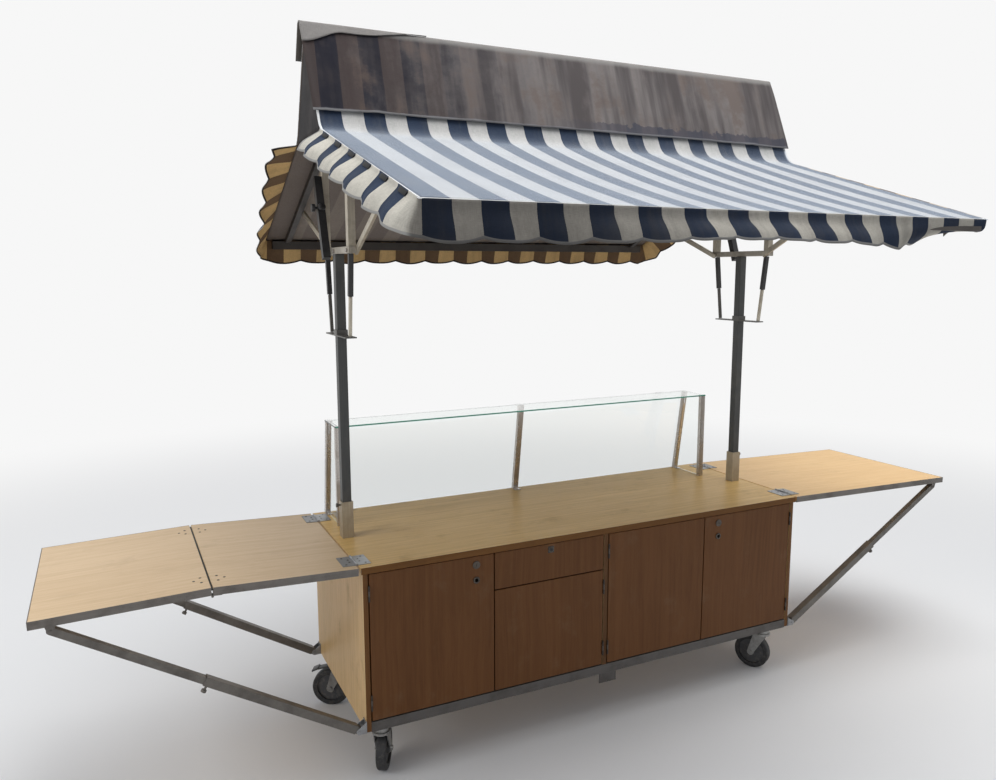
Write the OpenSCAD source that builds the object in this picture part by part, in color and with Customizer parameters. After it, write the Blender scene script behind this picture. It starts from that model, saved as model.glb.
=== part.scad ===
// Mobile market stall: a counter cabinet on casters, with fold-out leaves, a gabled canvas roof on two
// posts and a glass guard. Millimetres, +Z up, X along the counter, -Y towards the seller.

/* [Counter] */
// Length of the worktop between the leaf hinges
counter_l = 2026; // [1700:1:2400]
// Depth of the worktop
counter_d = 722; // [600:1:850]
// Height of the worktop above the floor
counter_h = 843; // [780:1:950]
// Thickness of the worktop
top_t = 24; // [18:1:32]
// Thickness of the cabinet's boards
board_t = 18; // [15:1:22]
// How far the cabinet stands back from the worktop's edges
overhang = 6; // [3:1:20]
// Height of the aluminium base rails
rail_h = 38; // [30:1:50]
// Width of the aluminium base rails
rail_w = 30; // [25:1:40]
// Width of the small plate under the seller's base rail
clip_w = 81; // [60:1:100]
// How far that plate hangs under the rail
clip_drop = 50; // [30:1:60]

/* [Doors and drawer] */
// Gap round the doors and the drawer front
door_gap = 5; // [5:1:8]
// Height of the drawer front
drawer_h = 142; // [110:1:180]
// Height of the drawer's side walls
drawer_side_h = 90; // [60:1:100]
// Thickness of the drawer box's walls
drawer_wall = 12; // [9:1:16]
// Depth of the drawer box from front to back
drawer_l = 480; // [350:1:550]
// Drop from the top of a door to its lock
lock_drop = 32; // [28:1:50]
// Drop from the top of a door to its knob
knob_drop = 91; // [75:1:120]
// Distance of lock and knob from the door's free edge
lock_inset = 72; // [45:1:100]
// Radius of the lock's rosette
lock_r = 15; // [12:1:18]
// Radius of the knob
knob_r = 13; // [10:1:16]
// Length of a door hinge
door_hinge_l = 60; // [45:1:80]
// Distance of a door hinge from the door's top or bottom
door_hinge_inset = 70; // [50:1:110]
// Radius of a door hinge's knuckles
door_knuckle_r = 3.5; // [3:0.5:4]

/* [Leaves] */
// Length of the right leaf
right_leaf_l = 997; // [800:1:1100]
// Length of the left leaf's inner panel
inner_leaf_l = 478; // [400:1:520]
// Length of the left leaf's outer panel
outer_leaf_l = 514; // [420:1:560]
// Thickness of a leaf's board
leaf_t = 19; // [15:1:22]
// Depth of the aluminium profiles under a leaf's edges
trim_h = 26; // [23:1:35]
// Width of the aluminium profiles
trim_w = 22; // [15:1:30]
// Wall of the aluminium profiles
trim_wall = 2; // [1.5:0.5:3]
// Gap between the worktop and a leaf
leaf_gap = 8; // [8:1:12]
// Gap between the left leaf's two panels
seam_gap = 5; // [5:1:8]
// Rise of the left inner panel
inner_rise = 2.1; // [0:0.1:4]
// Fall of the left outer panel
outer_fall = 1.6; // [0:0.1:4]
// Droop of the right leaf
right_droop = 1.35; // [0:0.05:3]
// Length of a hinge plate along the counter
plate_l = 46; // [36:1:60]
// Width of a hinge plate
plate_w = 96; // [70:1:120]
// Thickness of a hinge plate
plate_t = 2.5; // [2:0.5:4]
// Radius of a leaf hinge's barrel
barrel_r = 4; // [3.5:0.5:4]
// Distance of a leaf hinge from the worktop's front or back edge
hinge_inset = 82; // [60:1:120]

/* [Struts] */
// Outer width of a strut's lower tube
lower_w = 30; // [28:1:34]
// Outer width of a strut's upper tube
upper_w = 24; // [20:1:25]
// Wall of the lower tube
tube_wall = 2; // [1.5:0.5:2.5]
// Length of the lower tube
lower_l = 594; // [500:1:600]
// Length of the upper tube inside the lower tube
strut_overlap = 60; // [40:1:80]
// Distance of the strut's upper pivot from the leaf's end
strut_inset = 56; // [45:1:80]
// Depth of the strut's upper pivot under the leaf's surface
strut_drop = 44; // [44:1:55]
// Distance of the struts' centre lines from the worktop's front and back edges
strut_edge = 21; // [20:1:40]
// Radius of the strut's pivot pins
pivot_r = 4; // [3:0.5:5]
// Radius of the strut's round foot
foot_r = 12; // [10:1:15]

/* [Casters] */
// Radius of a wheel
wheel_r = 80; // [75:1:85]
// Width of a wheel
wheel_w = 38; // [30:1:44]
// Height from the floor to the base frame
caster_h = 222; // [215:1:235]
// Horizontal offset of the wheel's axle behind the swivel
caster_trail = 45; // [35:1:55]
// Distance of a caster's swivel from the counter's end
caster_inset_x = 82; // [75:1:120]
// Distance of a caster's swivel from the counter's front or back edge
caster_inset_y = 80; // [75:1:110]
// Radius of the swivel's race
race_r = 34; // [30:1:38]
// Thickness of the caster's top plate
caster_plate_t = 5; // [4:1:8]
// Thickness of the fork's legs
fork_t = 4; // [3:0.5:6]

/* [Posts and head] */
// Width of the square posts
post_w = 35; // [30:1:45]
// Distance of the posts' centre lines from the counter's ends
post_inset = 50; // [45:1:70]
// Height of the post sockets
socket_h = 143; // [100:1:180]
// Wall of the post sockets
socket_wall = 4; // [3:0.5:6]
// Height of the crossarms' underside above the floor
arm_z = 1924; // [1850:1:2000]
// Half length of the crossarms
arm_half = 190; // [186:1:220]
// Height of the lower crossbars' underside above the floor
bar_z = 1622; // [1550:1:1700]
// Half length of the lower crossbars
bar_half = 140; // [120:1:150]
// Height of crossarms and crossbars
arm_h = 24; // [20:1:30]
// Width of the head's tubes
head_w = 28; // [24:1:32]
// Reach of the slanting head struts beyond the uprights
strut_reach = 450; // [300:1:520]
// Width of the slanting head struts
slant_w = 22; // [18:1:26]
// Distance of the levers' feet behind the counter's middle
lever_foot_y = 66; // [40:1:90]
// Height of the levers' tops above the crossarms' underside
lever_rise = 290; // [220:1:340]
// Radius of the levers' round knobs
lever_knob_r = 15; // [12:1:20]

/* [Roof] */
// How far the canvas roof reaches past the posts' centre lines
roof_over = 99; // [70:1:180]
// Reach of the canvas in front of the counter's middle
front_reach = 1125; // [950:1:1250]
// Reach of the canvas behind the counter's middle
rear_reach = 930; // [850:1:1250]
// Height of the front eave
front_eave_z = 2036; // [1990:1:2100]
// Height of the rear eave
rear_eave_z = 2004; // [1980:1:2100]
// Half width of the steep ridge section at its foot
kink_y = 172; // [165:1:185]
// Height of the foot of the steep ridge section
kink_z = 2340; // [2300:1:2380]
// Height of the canvas at the ridge
ridge_z = 2716; // [2600:1:2800]
// Thickness of the canvas solids
cloth_t = 4; // [3:0.5:6]
// Width of the roof's square rails
roof_rail_w = 25; // [20:1:30]
// Height of the eave rails
eave_rail_h = 38; // [30:1:45]
// How far the front valance's hem stands out from the eave
front_flare = 50; // [0:1:70]
// How far the rear valance's hem stands out from the eave
rear_flare = 20; // [0:1:50]
// Angle by which the gable valances in front of the kinks stand out, in degrees
gable_front_out = 38; // [0:1:50]
// Angle by which the gable valances behind the kinks stand out, in degrees
gable_rear_out = 50; // [0:1:60]
// Depth of the valances down to the scallops' tips
valance_h = 112; // [90:1:130]
// Depth of one scallop
scallop_h = 16; // [10:1:25]
// Length of one scallop along a valance
scallop_l = 157; // [120:1:200]
// Drop of the ridge cover's front hem under the ridge
cover_front_drop = 310; // [250:1:330]
// Drop of the ridge cover's rear hem under the ridge
cover_rear_drop = 112; // [80:1:250]
// How far the ridge cover reaches past the ends of the canvas roof
cover_over = 19; // [5:1:40]
// Play between the cover and the canvas
cover_play = 5; // [4:1:10]

/* [Glass guard] */
// Height of the top glass above the worktop
guard_h = 404; // [300:1:450]
// Distance of the guard's left end from the counter's left end
guard_left = 50; // [50:1:80]
// Distance of the guard's right end from the counter's right end
guard_right = 122; // [60:1:160]
// Distance of the top glass's front edge behind the counter's middle
guard_front_y = 132; // [110:1:160]
// Distance of the leaning uprights' feet from the counter's back edge
guard_foot_edge = 22; // [20:1:50]
// How far the rear uprights lean towards the seller
guard_lean = 62; // [20:1:90]
// Thickness of the glass
glass_t = 6; // [4:1:8]
// Width of the guard's uprights
upright_w = 25; // [18:1:30]
// Depth of the guard's uprights
upright_d = 18; // [14:1:22]

/* [Hidden] */
$fn = 48;

eps = 0.01;
seat = 0.3;
wood = "burlywood";
dark_wood = "peru";
metal = "lightgray";
black = [0.1, 0.1, 0.1];

// The counter stands behind the origin, so that the roof's overhangs lie evenly round it
counter_y = (front_reach + front_flare - rear_reach - rear_flare) / 2;
half_l = counter_l / 2;
half_d = counter_d / 2;
under_top = counter_h - top_t;
floor_z = caster_h + rail_h;
case_x = half_l - overhang;
case_y = half_d - overhang;
inner_x = case_x - board_t;
inner_y = case_y - board_t;
recess_y = inner_y - door_gap;
bay_w = inner_x - board_t / 2;
door_w = (bay_w - 3 * door_gap) / 2;
door_z = floor_z + door_gap;
door_top = under_top - door_gap;
knuckle_out = door_knuckle_r + seat;
drawer_z = door_top - drawer_h;
shelf_top = drawer_z + 2;
split_x = board_t / 2 + 1.5 * door_gap + door_w;

axis_x = half_l + leaf_gap / 2;
axis_z = counter_h + barrel_r - 0.5;
axis_over_top = axis_z - counter_h;
leaf_y = half_d;
seam_u = leaf_gap / 2 + inner_leaf_l + seam_gap / 2;
seam_w = -axis_over_top - trim_h - barrel_r + 0.5;
strut_y = half_d - strut_edge;
right_pivot_u = leaf_gap / 2 + right_leaf_l - strut_inset;
pivot_w = -axis_over_top - strut_drop;
foot_x = half_l + 5 + lower_w / 2;
foot_z = caster_h + 3 + foot_r;
post_x = half_l - post_inset;
roof_l = 2 * (post_x + roof_over);
cover_l = roof_l + 2 * cover_over;
arm_top = arm_z + arm_h;
lever_x = post_x + head_w / 2 + head_w / 2 + seat;

// Points of the leaves' mechanism in the plane of a strut, right-hand side: x from the counter's middle, z
function turned(p, a) = [p[0] * cos(a) - p[1] * sin(a), p[0] * sin(a) + p[1] * cos(a)];
function seam_point() = [axis_x, axis_z] + turned([seam_u, seam_w], inner_rise);
outer_pivot = [seam_gap / 2 + outer_leaf_l - strut_inset, -seam_w - axis_over_top - strut_drop];
left_pivot = seam_point() + turned(outer_pivot, -outer_fall);
right_pivot = [axis_x, axis_z] + turned([right_pivot_u, pivot_w], -right_droop);
foot_point = [foot_x, foot_z];
function strut_l(pivot) = norm(pivot - foot_point);
function strut_angle(pivot) = atan2(pivot[1] - foot_z, pivot[0] - foot_x);

// Whole sub-parts are drawn round the counter's middle and moved to their place here
module placed() {
    translate([0, counter_y, 0]) children();
}

// The left half is drawn as a right half and mirrored
module side(s) {
    if (s < 0) mirror([1, 0, 0]) children();
    else children();
}

// A box that is centred in X and Y
module slab(size, at) {
    translate([at[0] - size[0] / 2, at[1] - size[1] / 2, at[2]]) cube(size);
}

// A bar in a plane across the counter, from one point [y, z] to another
module cross_bar(x, from, to, w, h) {
    run = to - from;
    translate([x, from[0], from[1]])
        rotate([atan2(run[1], run[0]), 0, 0])
            translate([-w / 2, 0, -h / 2])
                cube([w, norm(run), h]);
}

// A rod along Y, centred
module y_rod(r, l, at) {
    translate(at) rotate([90, 0, 0]) cylinder(r = r, h = l, center = true);
}

// Cabinet

module worktop() {
    color(wood) placed()
        difference() {
            slab([counter_l, counter_d, top_t], [0, 0, under_top]);
            // the pilot holes of the post sockets' fixing bolts
            for (s = [-1, 1])
                translate([s * post_x, 0, under_top - eps]) cylinder(r = 4, h = top_t + 2 * eps);
        }
}

module side_panels() {
    color(wood) placed()
        for (s = [-1, 1])
            slab([board_t, 2 * case_y, under_top - caster_h - 3],
                [s * (case_x - board_t / 2), 0, caster_h + 3]);
}

module back_panel() {
    color(wood) placed()
        slab([2 * inner_x, board_t, under_top - floor_z], [0, case_y - board_t / 2, floor_z]);
}

module cabinet_floor() {
    color(wood) placed()
        translate([-inner_x, -recess_y, floor_z])
            cube([2 * inner_x, recess_y + inner_y, board_t]);
}

module partitions() {
    board_z = floor_z + board_t;
    color(wood) placed() {
        // centre partition, whose front edge shows between the doors
        translate([-board_t / 2, -recess_y, board_z])
            cube([board_t, recess_y + inner_y, under_top - board_z]);
        translate([-board_t / 2, -case_y, floor_z])
            cube([board_t, case_y - recess_y, under_top - floor_z]);
        // divider beside the drawer, and the shelf under it
        translate([-split_x - board_t / 2, -recess_y, board_z])
            cube([board_t, recess_y + inner_y, under_top - board_z]);
        translate([-split_x, -recess_y, shelf_top - board_t])
            cube([split_x - board_t / 2 + eps, recess_y + inner_y, board_t]);
    }
}

module caster_seat(x, y) {
    // top plate with its kingpin
    slab([104, 92, caster_plate_t], [x, y, caster_h - caster_plate_t]);
    translate([x, y, caster_h - caster_plate_t - 30]) cylinder(r = 8, h = 30 + eps);
}

module base_frame() {
    cross_l = 2 * (case_y - rail_w - seat);
    caster_x = half_l - caster_inset_x;
    caster_y = half_d - caster_inset_y;
    color(metal) placed() {
        for (s = [-1, 1])
            slab([2 * inner_x - 2 * seat, rail_w, rail_h], [0, s * (case_y - rail_w / 2), caster_h]);
        slab([rail_w, cross_l, rail_h], [0, 0, caster_h]);
        // small plate under the seller's rail, a little right of the middle
        translate([-13, -case_y + rail_w / 2, caster_h - clip_drop]) cube([clip_w, 5, clip_drop + 2]);
        for (s = [-1, 1]) {
            // the end rails carry the casters' plates
            slab([100, cross_l, rail_h], [s * caster_x, 0, caster_h]);
            for (t = [-1, 1]) intersection() {
                caster_seat(s * caster_x, t * caster_y);
                slab([200, cross_l, caster_h], [s * caster_x, 0, eps]);
            }
        }
    }
}

module strut_brackets() {
    cheek = 2.5;
    play = 0.5;
    outer = lower_w / 2 + play + cheek;
    color("silver") placed()
        for (s = [-1, 1], t = [-1, 1]) side(s) translate([0, t * strut_y, 0]) {
            // a plate on the side panel with two cheeks, which hold the pin of the strut's foot
            translate([case_x, -outer, caster_h + 3]) cube([3, 2 * outer, 44]);
            for (e = [-1, 1]) translate([0, e * (outer - cheek / 2), 0]) rotate([90, 0, 0])
                linear_extrude(cheek, center = true) union() {
                    polygon([[case_x + eps, caster_h + 4], [foot_x, foot_z - foot_r],
                        [foot_x, foot_z + foot_r], [case_x + eps, caster_h + 44]]);
                    translate([foot_x, foot_z]) circle(r = foot_r);
                }
            y_rod(pivot_r, 2 * outer + 6, [foot_x, 0, foot_z]);
        }
}

// Hinge between the worktop and a leaf: which is "fixed" or "leaf", in the leaf's own frame
module leaf_hinge(which, y) {
    third = plate_w / 3;
    if (which == "fixed") {
        translate([-plate_l - leaf_gap / 2, y - plate_w / 2, -axis_over_top])
            cube([plate_l, plate_w, plate_t]);
        for (t = [-1, 1]) {
            y_rod(barrel_r, third - 1, [0, y + t * third, 0]);
            translate([-leaf_gap / 2 - eps, y + t * third - third / 2 + 0.5, -axis_over_top])
                cube([leaf_gap / 2, third - 1, plate_t]);
        }
        y_rod(2.5, plate_w, [0, y, 0]);
    } else {
        difference() {
            union() {
                translate([leaf_gap / 2, y - plate_w / 2, -axis_over_top]) cube([plate_l, plate_w, plate_t]);
                y_rod(barrel_r, third - 1, [0, y, 0]);
                translate([0, y - third / 2 + 0.5, -axis_over_top])
                    cube([leaf_gap / 2 + eps, third - 1, plate_t]);
            }
            y_rod(2.8, third, [0, y, 0]);
        }
    }
}

module worktop_hinges() {
    color("silver") placed()
        for (s = [-1, 1], t = [-1, 1]) side(s) translate([axis_x, 0, axis_z])
            leaf_hinge("fixed", t * (half_d - hinge_inset));
}

// Doors and drawer

// One half of a butt hinge round its axis, which stands in front of the doors; to is the side of its board
module butt_hinge(which, to) {
    third = door_hinge_l / 3;
    plate = 1.2;
    parts = which == "fixed" ? [-1, 1] : [0];
    difference() {
        union() {
            for (t = parts) translate([0, 0, t * third]) {
                cylinder(r = door_knuckle_r, h = third - 1, center = true);
                // the plate on the edge of its board
                translate([to > 0 ? door_gap / 2 - plate : -door_gap / 2, 0, 0.5 - third / 2])
                    cube([plate, knuckle_out + board_t - 2, third - 1]);
            }
            if (which == "fixed") cylinder(r = 1.5, h = door_hinge_l - 1, center = true);
        }
        if (which == "door") cylinder(r = 1.8, h = door_hinge_l, center = true);
    }
}

// Both hinges of a door; x is the axis, z0 and z1 the door's bottom and top
module hinge_pair(which, x, to, z0, z1) {
    for (z = [z0 + door_hinge_inset, z1 - door_hinge_inset])
        translate([x, -case_y - knuckle_out, z]) butt_hinge(which, to);
}

door_1_x = -inner_x + door_gap / 2;
door_2_x = -board_t / 2 - door_gap / 2;
door_3_x = board_t / 2 + door_gap / 2;
door_4_x = inner_x - door_gap / 2;
door_2_top = drawer_z - door_gap;

module door_hinges() {
    color("silver") placed() {
        hinge_pair("fixed", door_1_x, -1, door_z, door_top);
        hinge_pair("fixed", door_2_x, 1, door_z, door_2_top);
        hinge_pair("fixed", door_3_x, -1, door_z, door_top);
        hinge_pair("fixed", door_4_x, 1, door_z, door_top);
    }
}

// A door board from its hinge axis; s is the way it runs from there, holes are drilled for its lock
module door_board(x, s, top, fitted) {
    placed() difference() {
        translate([x + (s > 0 ? door_gap / 2 : -door_gap / 2 - door_w), -case_y, door_z])
            cube([door_w, board_t, top - door_z]);
        if (fitted)
            for (drop = [lock_drop, knob_drop])
                translate([x + s * (door_gap / 2 + door_w - lock_inset), -case_y + board_t / 2, top - drop])
                    rotate([90, 0, 0]) cylinder(r = 9.5, h = board_t + 1, center = true);
    }
}

// The round lock with its barrel, and the round pull below it
module door_fittings(x, s, top) {
    lock_x = x + s * (door_gap / 2 + door_w - lock_inset);
    placed() {
        translate([lock_x, -case_y, top - lock_drop]) {
            difference() {
                union() {
                    rotate([90, 0, 0]) cylinder(r = lock_r, h = 3);
                    y_rod(9.3, board_t + 10, [0, board_t / 2 + 5, 0]);
                }
                slab([2, 3, 10], [0, -3, -5]);
            }
        }
        translate([lock_x, -case_y, top - knob_drop])
            rotate([90, 0, 0]) difference() {
                union() {
                    cylinder(r = knob_r, h = 4);
                    translate([0, 0, -board_t]) cylinder(r = 9.3, h = board_t + eps);
                }
                // the finger cup
                translate([0, 0, -board_t + 3]) cylinder(r = 7.5, h = board_t + 10);
            }
    }
}

module door_1() { color(dark_wood) door_board(door_1_x, 1, door_top, true); }
module door_2() { color(dark_wood) door_board(door_2_x, -1, door_2_top, false); }
module door_3() { color(dark_wood) door_board(door_3_x, 1, door_top, false); }
module door_4() { color(dark_wood) door_board(door_4_x, -1, door_top, true); }

module door_1_fittings() {
    color("silver") {
        door_fittings(door_1_x, 1, door_top);
        placed() hinge_pair("door", door_1_x, 1, door_z, door_top);
    }
}
module door_2_fittings() {
    color("silver") placed() hinge_pair("door", door_2_x, -1, door_z, door_2_top);
}
module door_3_fittings() {
    color("silver") placed() hinge_pair("door", door_3_x, 1, door_z, door_top);
}
module door_4_fittings() {
    color("silver") {
        door_fittings(door_4_x, -1, door_top);
        placed() hinge_pair("door", door_4_x, -1, door_z, door_top);
    }
}

drawer_left = -board_t / 2 - door_gap - door_w;
drawer_mid = drawer_left + door_w / 2;
box_left = -split_x + board_t / 2 + door_gap;
box_right = -board_t / 2 - door_gap;
box_z = shelf_top + seat;

module drawer_front() {
    color(dark_wood) placed() difference() {
        translate([drawer_left, -case_y, drawer_z]) cube([door_w, board_t, drawer_h]);
        y_rod(9.5, board_t + 1, [drawer_mid, -case_y + board_t / 2, door_top - lock_drop + 10]);
    }
}

module drawer_box() {
    box_w = box_right - box_left;
    color(wood) placed() translate([box_left, -inner_y, box_z]) difference() {
        cube([box_w, drawer_l, drawer_side_h]);
        translate([drawer_wall, drawer_wall, drawer_wall])
            cube([box_w - 2 * drawer_wall, drawer_l - 2 * drawer_wall, drawer_side_h]);
    }
}

module drawer_lock() {
    color("silver") placed() translate([drawer_mid, -case_y, door_top - lock_drop + 10]) difference() {
        union() {
            rotate([90, 0, 0]) cylinder(r = lock_r - 3, h = 3);
            y_rod(9.3, board_t + 1, [0, board_t / 2 - 0.5, 0]);
        }
        slab([2, 3, 8], [0, -3, -4]);
    }
}

// Leaves, drawn in a frame at their hinge: X outwards, the surface at z = top

// The board of a leaf from u0 to u1
module leaf_board(u0, u1, top) {
    translate([u0, -leaf_y + trim_wall, top - leaf_t])
        cube([u1 - u0, 2 * (leaf_y - trim_wall), leaf_t]);
}

// A C-shaped edge profile: its section stands at the edge, open towards the board
module edge_profile(l) {
    rotate([90, 0, 90]) linear_extrude(l) difference() {
        translate([0, -trim_h]) square([trim_w, trim_h]);
        translate([trim_wall, -leaf_t - seat]) square([trim_w, leaf_t + seat + 1]);
        translate([trim_wall, -trim_h + trim_wall]) square([trim_w, trim_h - leaf_t - 2 * trim_wall]);
    }
}

// The profiles along the front, back and outer edges of a leaf
module leaf_trim(u0, u1, top, closed) {
    for (t = [-1, 1]) translate([u0, t * leaf_y, top]) {
        if (t < 0) edge_profile(u1 - u0);
        else mirror([0, 1, 0]) edge_profile(u1 - u0);
    }
    if (closed)
        translate([u1 + seat, -leaf_y, top - trim_h]) cube([trim_wall, 2 * leaf_y, trim_h]);
}

// The fork that holds a strut's upper end under a leaf
module strut_fork(u, top) {
    ear = 2.5;
    for (t = [-1, 1]) translate([u, t * strut_y, 0]) difference() {
        union() {
            for (e = [-1, 1]) hull() {
                translate([-14, e * (upper_w / 2 + 0.5 + ear / 2) - ear / 2, top - trim_h - 3])
                    cube([28, ear, 3]);
                y_rod(9, ear, [0, e * (upper_w / 2 + 0.5 + ear / 2), top - strut_drop]);
            }
            slab([28, upper_w + 1 + 2 * ear, 3], [0, 0, top - trim_h - 3]);
            y_rod(pivot_r, upper_w + 8 + 2 * ear, [0, 0, top - strut_drop]);
        }
    }
}

// The half of the seam's hinges that belongs to one panel, round the origin
module seam_hinge(which) {
    knuckle = trim_w / 3;
    wing = which == "inner" ? -30 : 0;
    for (t = [-1, 1], e = which == "inner" ? [-1, 1] : [0])
        translate([0, t * (half_d - trim_w / 2) + e * knuckle, 0]) rotate([90, 0, 0])
            linear_extrude(knuckle - 1, center = true) union() {
                circle(r = barrel_r);
                translate([wing, barrel_r - 2.5]) square([30, 2]);
            }
}

module inner_place() {
    placed() side(-1) translate([axis_x, 0, axis_z]) rotate([0, -inner_rise, 0]) children();
}

module outer_place() {
    seam = seam_point();
    placed() side(-1) translate([seam[0], 0, seam[1]]) rotate([0, outer_fall, 0]) children();
}

module right_place() {
    placed() translate([axis_x, 0, axis_z]) rotate([0, right_droop, 0]) children();
}

outer_top = -seam_w - axis_over_top;

module left_inner_leaf() {
    color(wood) inner_place() leaf_board(leaf_gap / 2, leaf_gap / 2 + inner_leaf_l, -axis_over_top);
}

module left_inner_trim() {
    color(metal) inner_place() {
        leaf_trim(leaf_gap / 2, leaf_gap / 2 + inner_leaf_l, -axis_over_top, false);
        translate([seam_u, 0, seam_w]) seam_hinge("inner");
        for (t = [-1, 1]) leaf_hinge("leaf", t * (half_d - hinge_inset));
    }
}

module left_outer_leaf() {
    color(wood) outer_place() leaf_board(seam_gap / 2, seam_gap / 2 + outer_leaf_l, outer_top);
}

module left_outer_trim() {
    color(metal) outer_place() {
        leaf_trim(seam_gap / 2, seam_gap / 2 + outer_leaf_l, outer_top, true);
        seam_hinge("outer");
        strut_fork(outer_pivot[0], outer_top);
    }
}

module right_leaf() {
    color(wood) right_place() leaf_board(leaf_gap / 2, leaf_gap / 2 + right_leaf_l, -axis_over_top);
}

module right_leaf_trim() {
    color(metal) right_place() {
        leaf_trim(leaf_gap / 2, leaf_gap / 2 + right_leaf_l, -axis_over_top, true);
        for (t = [-1, 1]) leaf_hinge("leaf", t * (half_d - hinge_inset));
        strut_fork(right_pivot_u, -axis_over_top);
    }
}

// Struts, drawn along X from the foot

module strut_place(s, t) {
    pivot = s < 0 ? left_pivot : right_pivot;
    placed() side(s) translate([foot_point[0], t * strut_y, foot_point[1]])
        rotate([0, -strut_angle(pivot), 0]) children();
}

module strut_upper(s, t) {
    total = strut_l(s < 0 ? left_pivot : right_pivot);
    start = lower_l - strut_overlap;
    color(metal) strut_place(s, t) difference() {
        union() {
            translate([start, -upper_w / 2, -upper_w / 2]) cube([total - start, upper_w, upper_w]);
            y_rod(upper_w / 2, upper_w, [total, 0, 0]);
        }
        translate([start - 1, 1.5 - upper_w / 2, 1.5 - upper_w / 2])
            cube([total - start - upper_w, upper_w - 3, upper_w - 3]);
        // the slot that hooks over the leaf's pin
        y_rod(pivot_r + 0.6, upper_w + 2, [total, 0, 0]);
        translate([total, -upper_w, -pivot_r - 0.6]) cube([upper_w, 2 * upper_w, 2 * (pivot_r + 0.6)]);
    }
}

module strut_lower(s, t) {
    color(metal) strut_place(s, t) {
        difference() {
            translate([foot_r, -lower_w / 2, -lower_w / 2]) cube([lower_l - foot_r, lower_w, lower_w]);
            translate([foot_r + 6, tube_wall - lower_w / 2, tube_wall - lower_w / 2])
                cube([lower_l, lower_w - 2 * tube_wall, lower_w - 2 * tube_wall]);
            y_rod(pivot_r + seat, lower_w + 2, [0, 0, 0]);
        }
        // the solid foot that turns on the bracket's pin
        difference() {
            union() {
                y_rod(foot_r, lower_w, [0, 0, 0]);
                translate([0, -lower_w / 2, -foot_r]) cube([foot_r + 2, lower_w, 2 * foot_r]);
            }
            y_rod(pivot_r + seat, lower_w + 2, [0, 0, 0]);
        }
        // thumb screw under the tube's open end
        translate([lower_l - 16, 0, -lower_w / 2 - 16]) cylinder(r = 4, h = 16 + eps);
        translate([lower_l - 16, 0, -lower_w / 2 - 24]) cylinder(r = 9, h = 9);
    }
}

// Casters, drawn round the swivel with the wheel trailing along X

caster_turns = [[62, 118], [152, 215]];

module caster_place(s, t) {
    turn = caster_turns[t < 0 ? 0 : 1][s < 0 ? 0 : 1];
    placed() translate([s * (half_l - caster_inset_x), t * (half_d - caster_inset_y), 0])
        rotate([0, 0, turn]) children();
}

module fork(s, t) {
    crown_z = 2 * wheel_r + 10;
    crown_t = 5;
    race_top = caster_h - caster_plate_t - seat;
    inner = wheel_w / 2 + 5;
    color("gainsboro") caster_place(s, t) {
        difference() {
            union() {
                translate([0, 0, crown_z]) cylinder(r = race_r, h = crown_t + 4);
                translate([0, 0, crown_z + crown_t])
                    cylinder(r = race_r - 6, h = race_top - crown_z - crown_t);
                // crown plate that joins the two legs
                slab([2 * race_r - 8, 2 * (inner + fork_t), crown_t], [4, 0, crown_z]);
            }
            cylinder(r = 8 + seat, h = caster_h);
        }
        for (e = [-1, 1]) translate([0, e * (inner + fork_t / 2), 0]) rotate([90, 0, 0])
            linear_extrude(fork_t, center = true) union() {
                polygon([[-race_r + 8, crown_z + crown_t], [race_r, crown_z + crown_t],
                         [caster_trail + 16, wheel_r], [caster_trail - 16, wheel_r]]);
                translate([caster_trail, wheel_r]) circle(r = 16);
            }
        y_rod(6, 2 * (inner + fork_t) + 12, [caster_trail, 0, wheel_r]);
        for (e = [-1, 1]) y_rod(9, 6, [caster_trail, e * (inner + fork_t + 3), wheel_r]);
    }
}

module wheel(s, t) {
    edge = 7;
    half = wheel_w / 2;
    color(black) caster_place(s, t) translate([caster_trail, 0, wheel_r]) rotate([90, 0, 0])
        rotate_extrude($fn = 96) difference() {
            union() {
                translate([6 + seat, -half - 3]) square([14, wheel_w + 6]);
                translate([6 + seat, -half + 8]) square([wheel_r - 20, wheel_w - 16]);
                // tyre with rounded shoulders
                translate([wheel_r - 22, -half]) square([22 - edge, wheel_w]);
                translate([wheel_r - edge - eps, -half + edge]) square([edge + eps, wheel_w - 2 * edge]);
                for (e = [-1, 1]) translate([wheel_r - edge, e * (half - edge)]) circle(r = edge);
            }
        }
}

// Posts and the head that carries the roof

module post_sockets() {
    outer = post_w + 1 + 2 * socket_wall;
    color("silver") placed() for (s = [-1, 1]) side(s) {
        difference() {
            slab([outer, outer, socket_h], [post_x, 0, counter_h]);
            slab([post_w + 1, post_w + 1, socket_h], [post_x, 0, counter_h + socket_wall]);
        }
        // thumb screw on the socket's outer face
        translate([post_x + outer / 2 - eps, 0, counter_h + socket_h - 14]) rotate([0, 90, 0])
            cylinder(r = 3.5, h = 10);
        translate([post_x + outer / 2 + 9, 0, counter_h + socket_h - 14]) rotate([0, 90, 0])
            cylinder(r = 8, h = 8);
    }
}

module posts() {
    base = counter_h + socket_wall;
    color("darkgray") placed() for (s = [-1, 1])
        slab([post_w, post_w, arm_z - base], [s * post_x, 0, base]);
}

module crossarms() {
    color("tan") placed() for (s = [-1, 1]) {
        slab([head_w, 2 * arm_half, arm_h], [s * post_x, 0, arm_z]);
        // the lower crossbar is a collar round the post
        difference() {
            slab([post_w + 8, 2 * bar_half, arm_h], [s * post_x, 0, bar_z]);
            slab([post_w, post_w, arm_h + 2], [s * post_x, 0, bar_z - 1]);
            for (t = [-1, 1])
                slab([post_w + 9, bar_half - post_w / 2 - 4, arm_h],
                    [s * post_x, t * (bar_half + post_w / 2 + 4) / 2, bar_z + 5]);
        }
    }
}

front_slope = [(front_reach - cloth_t - kink_y), kink_z - front_eave_z];
rear_slope = [(rear_reach - cloth_t - kink_y), kink_z - rear_eave_z];
steep_slope = [kink_y, ridge_z - kink_z];

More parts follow.
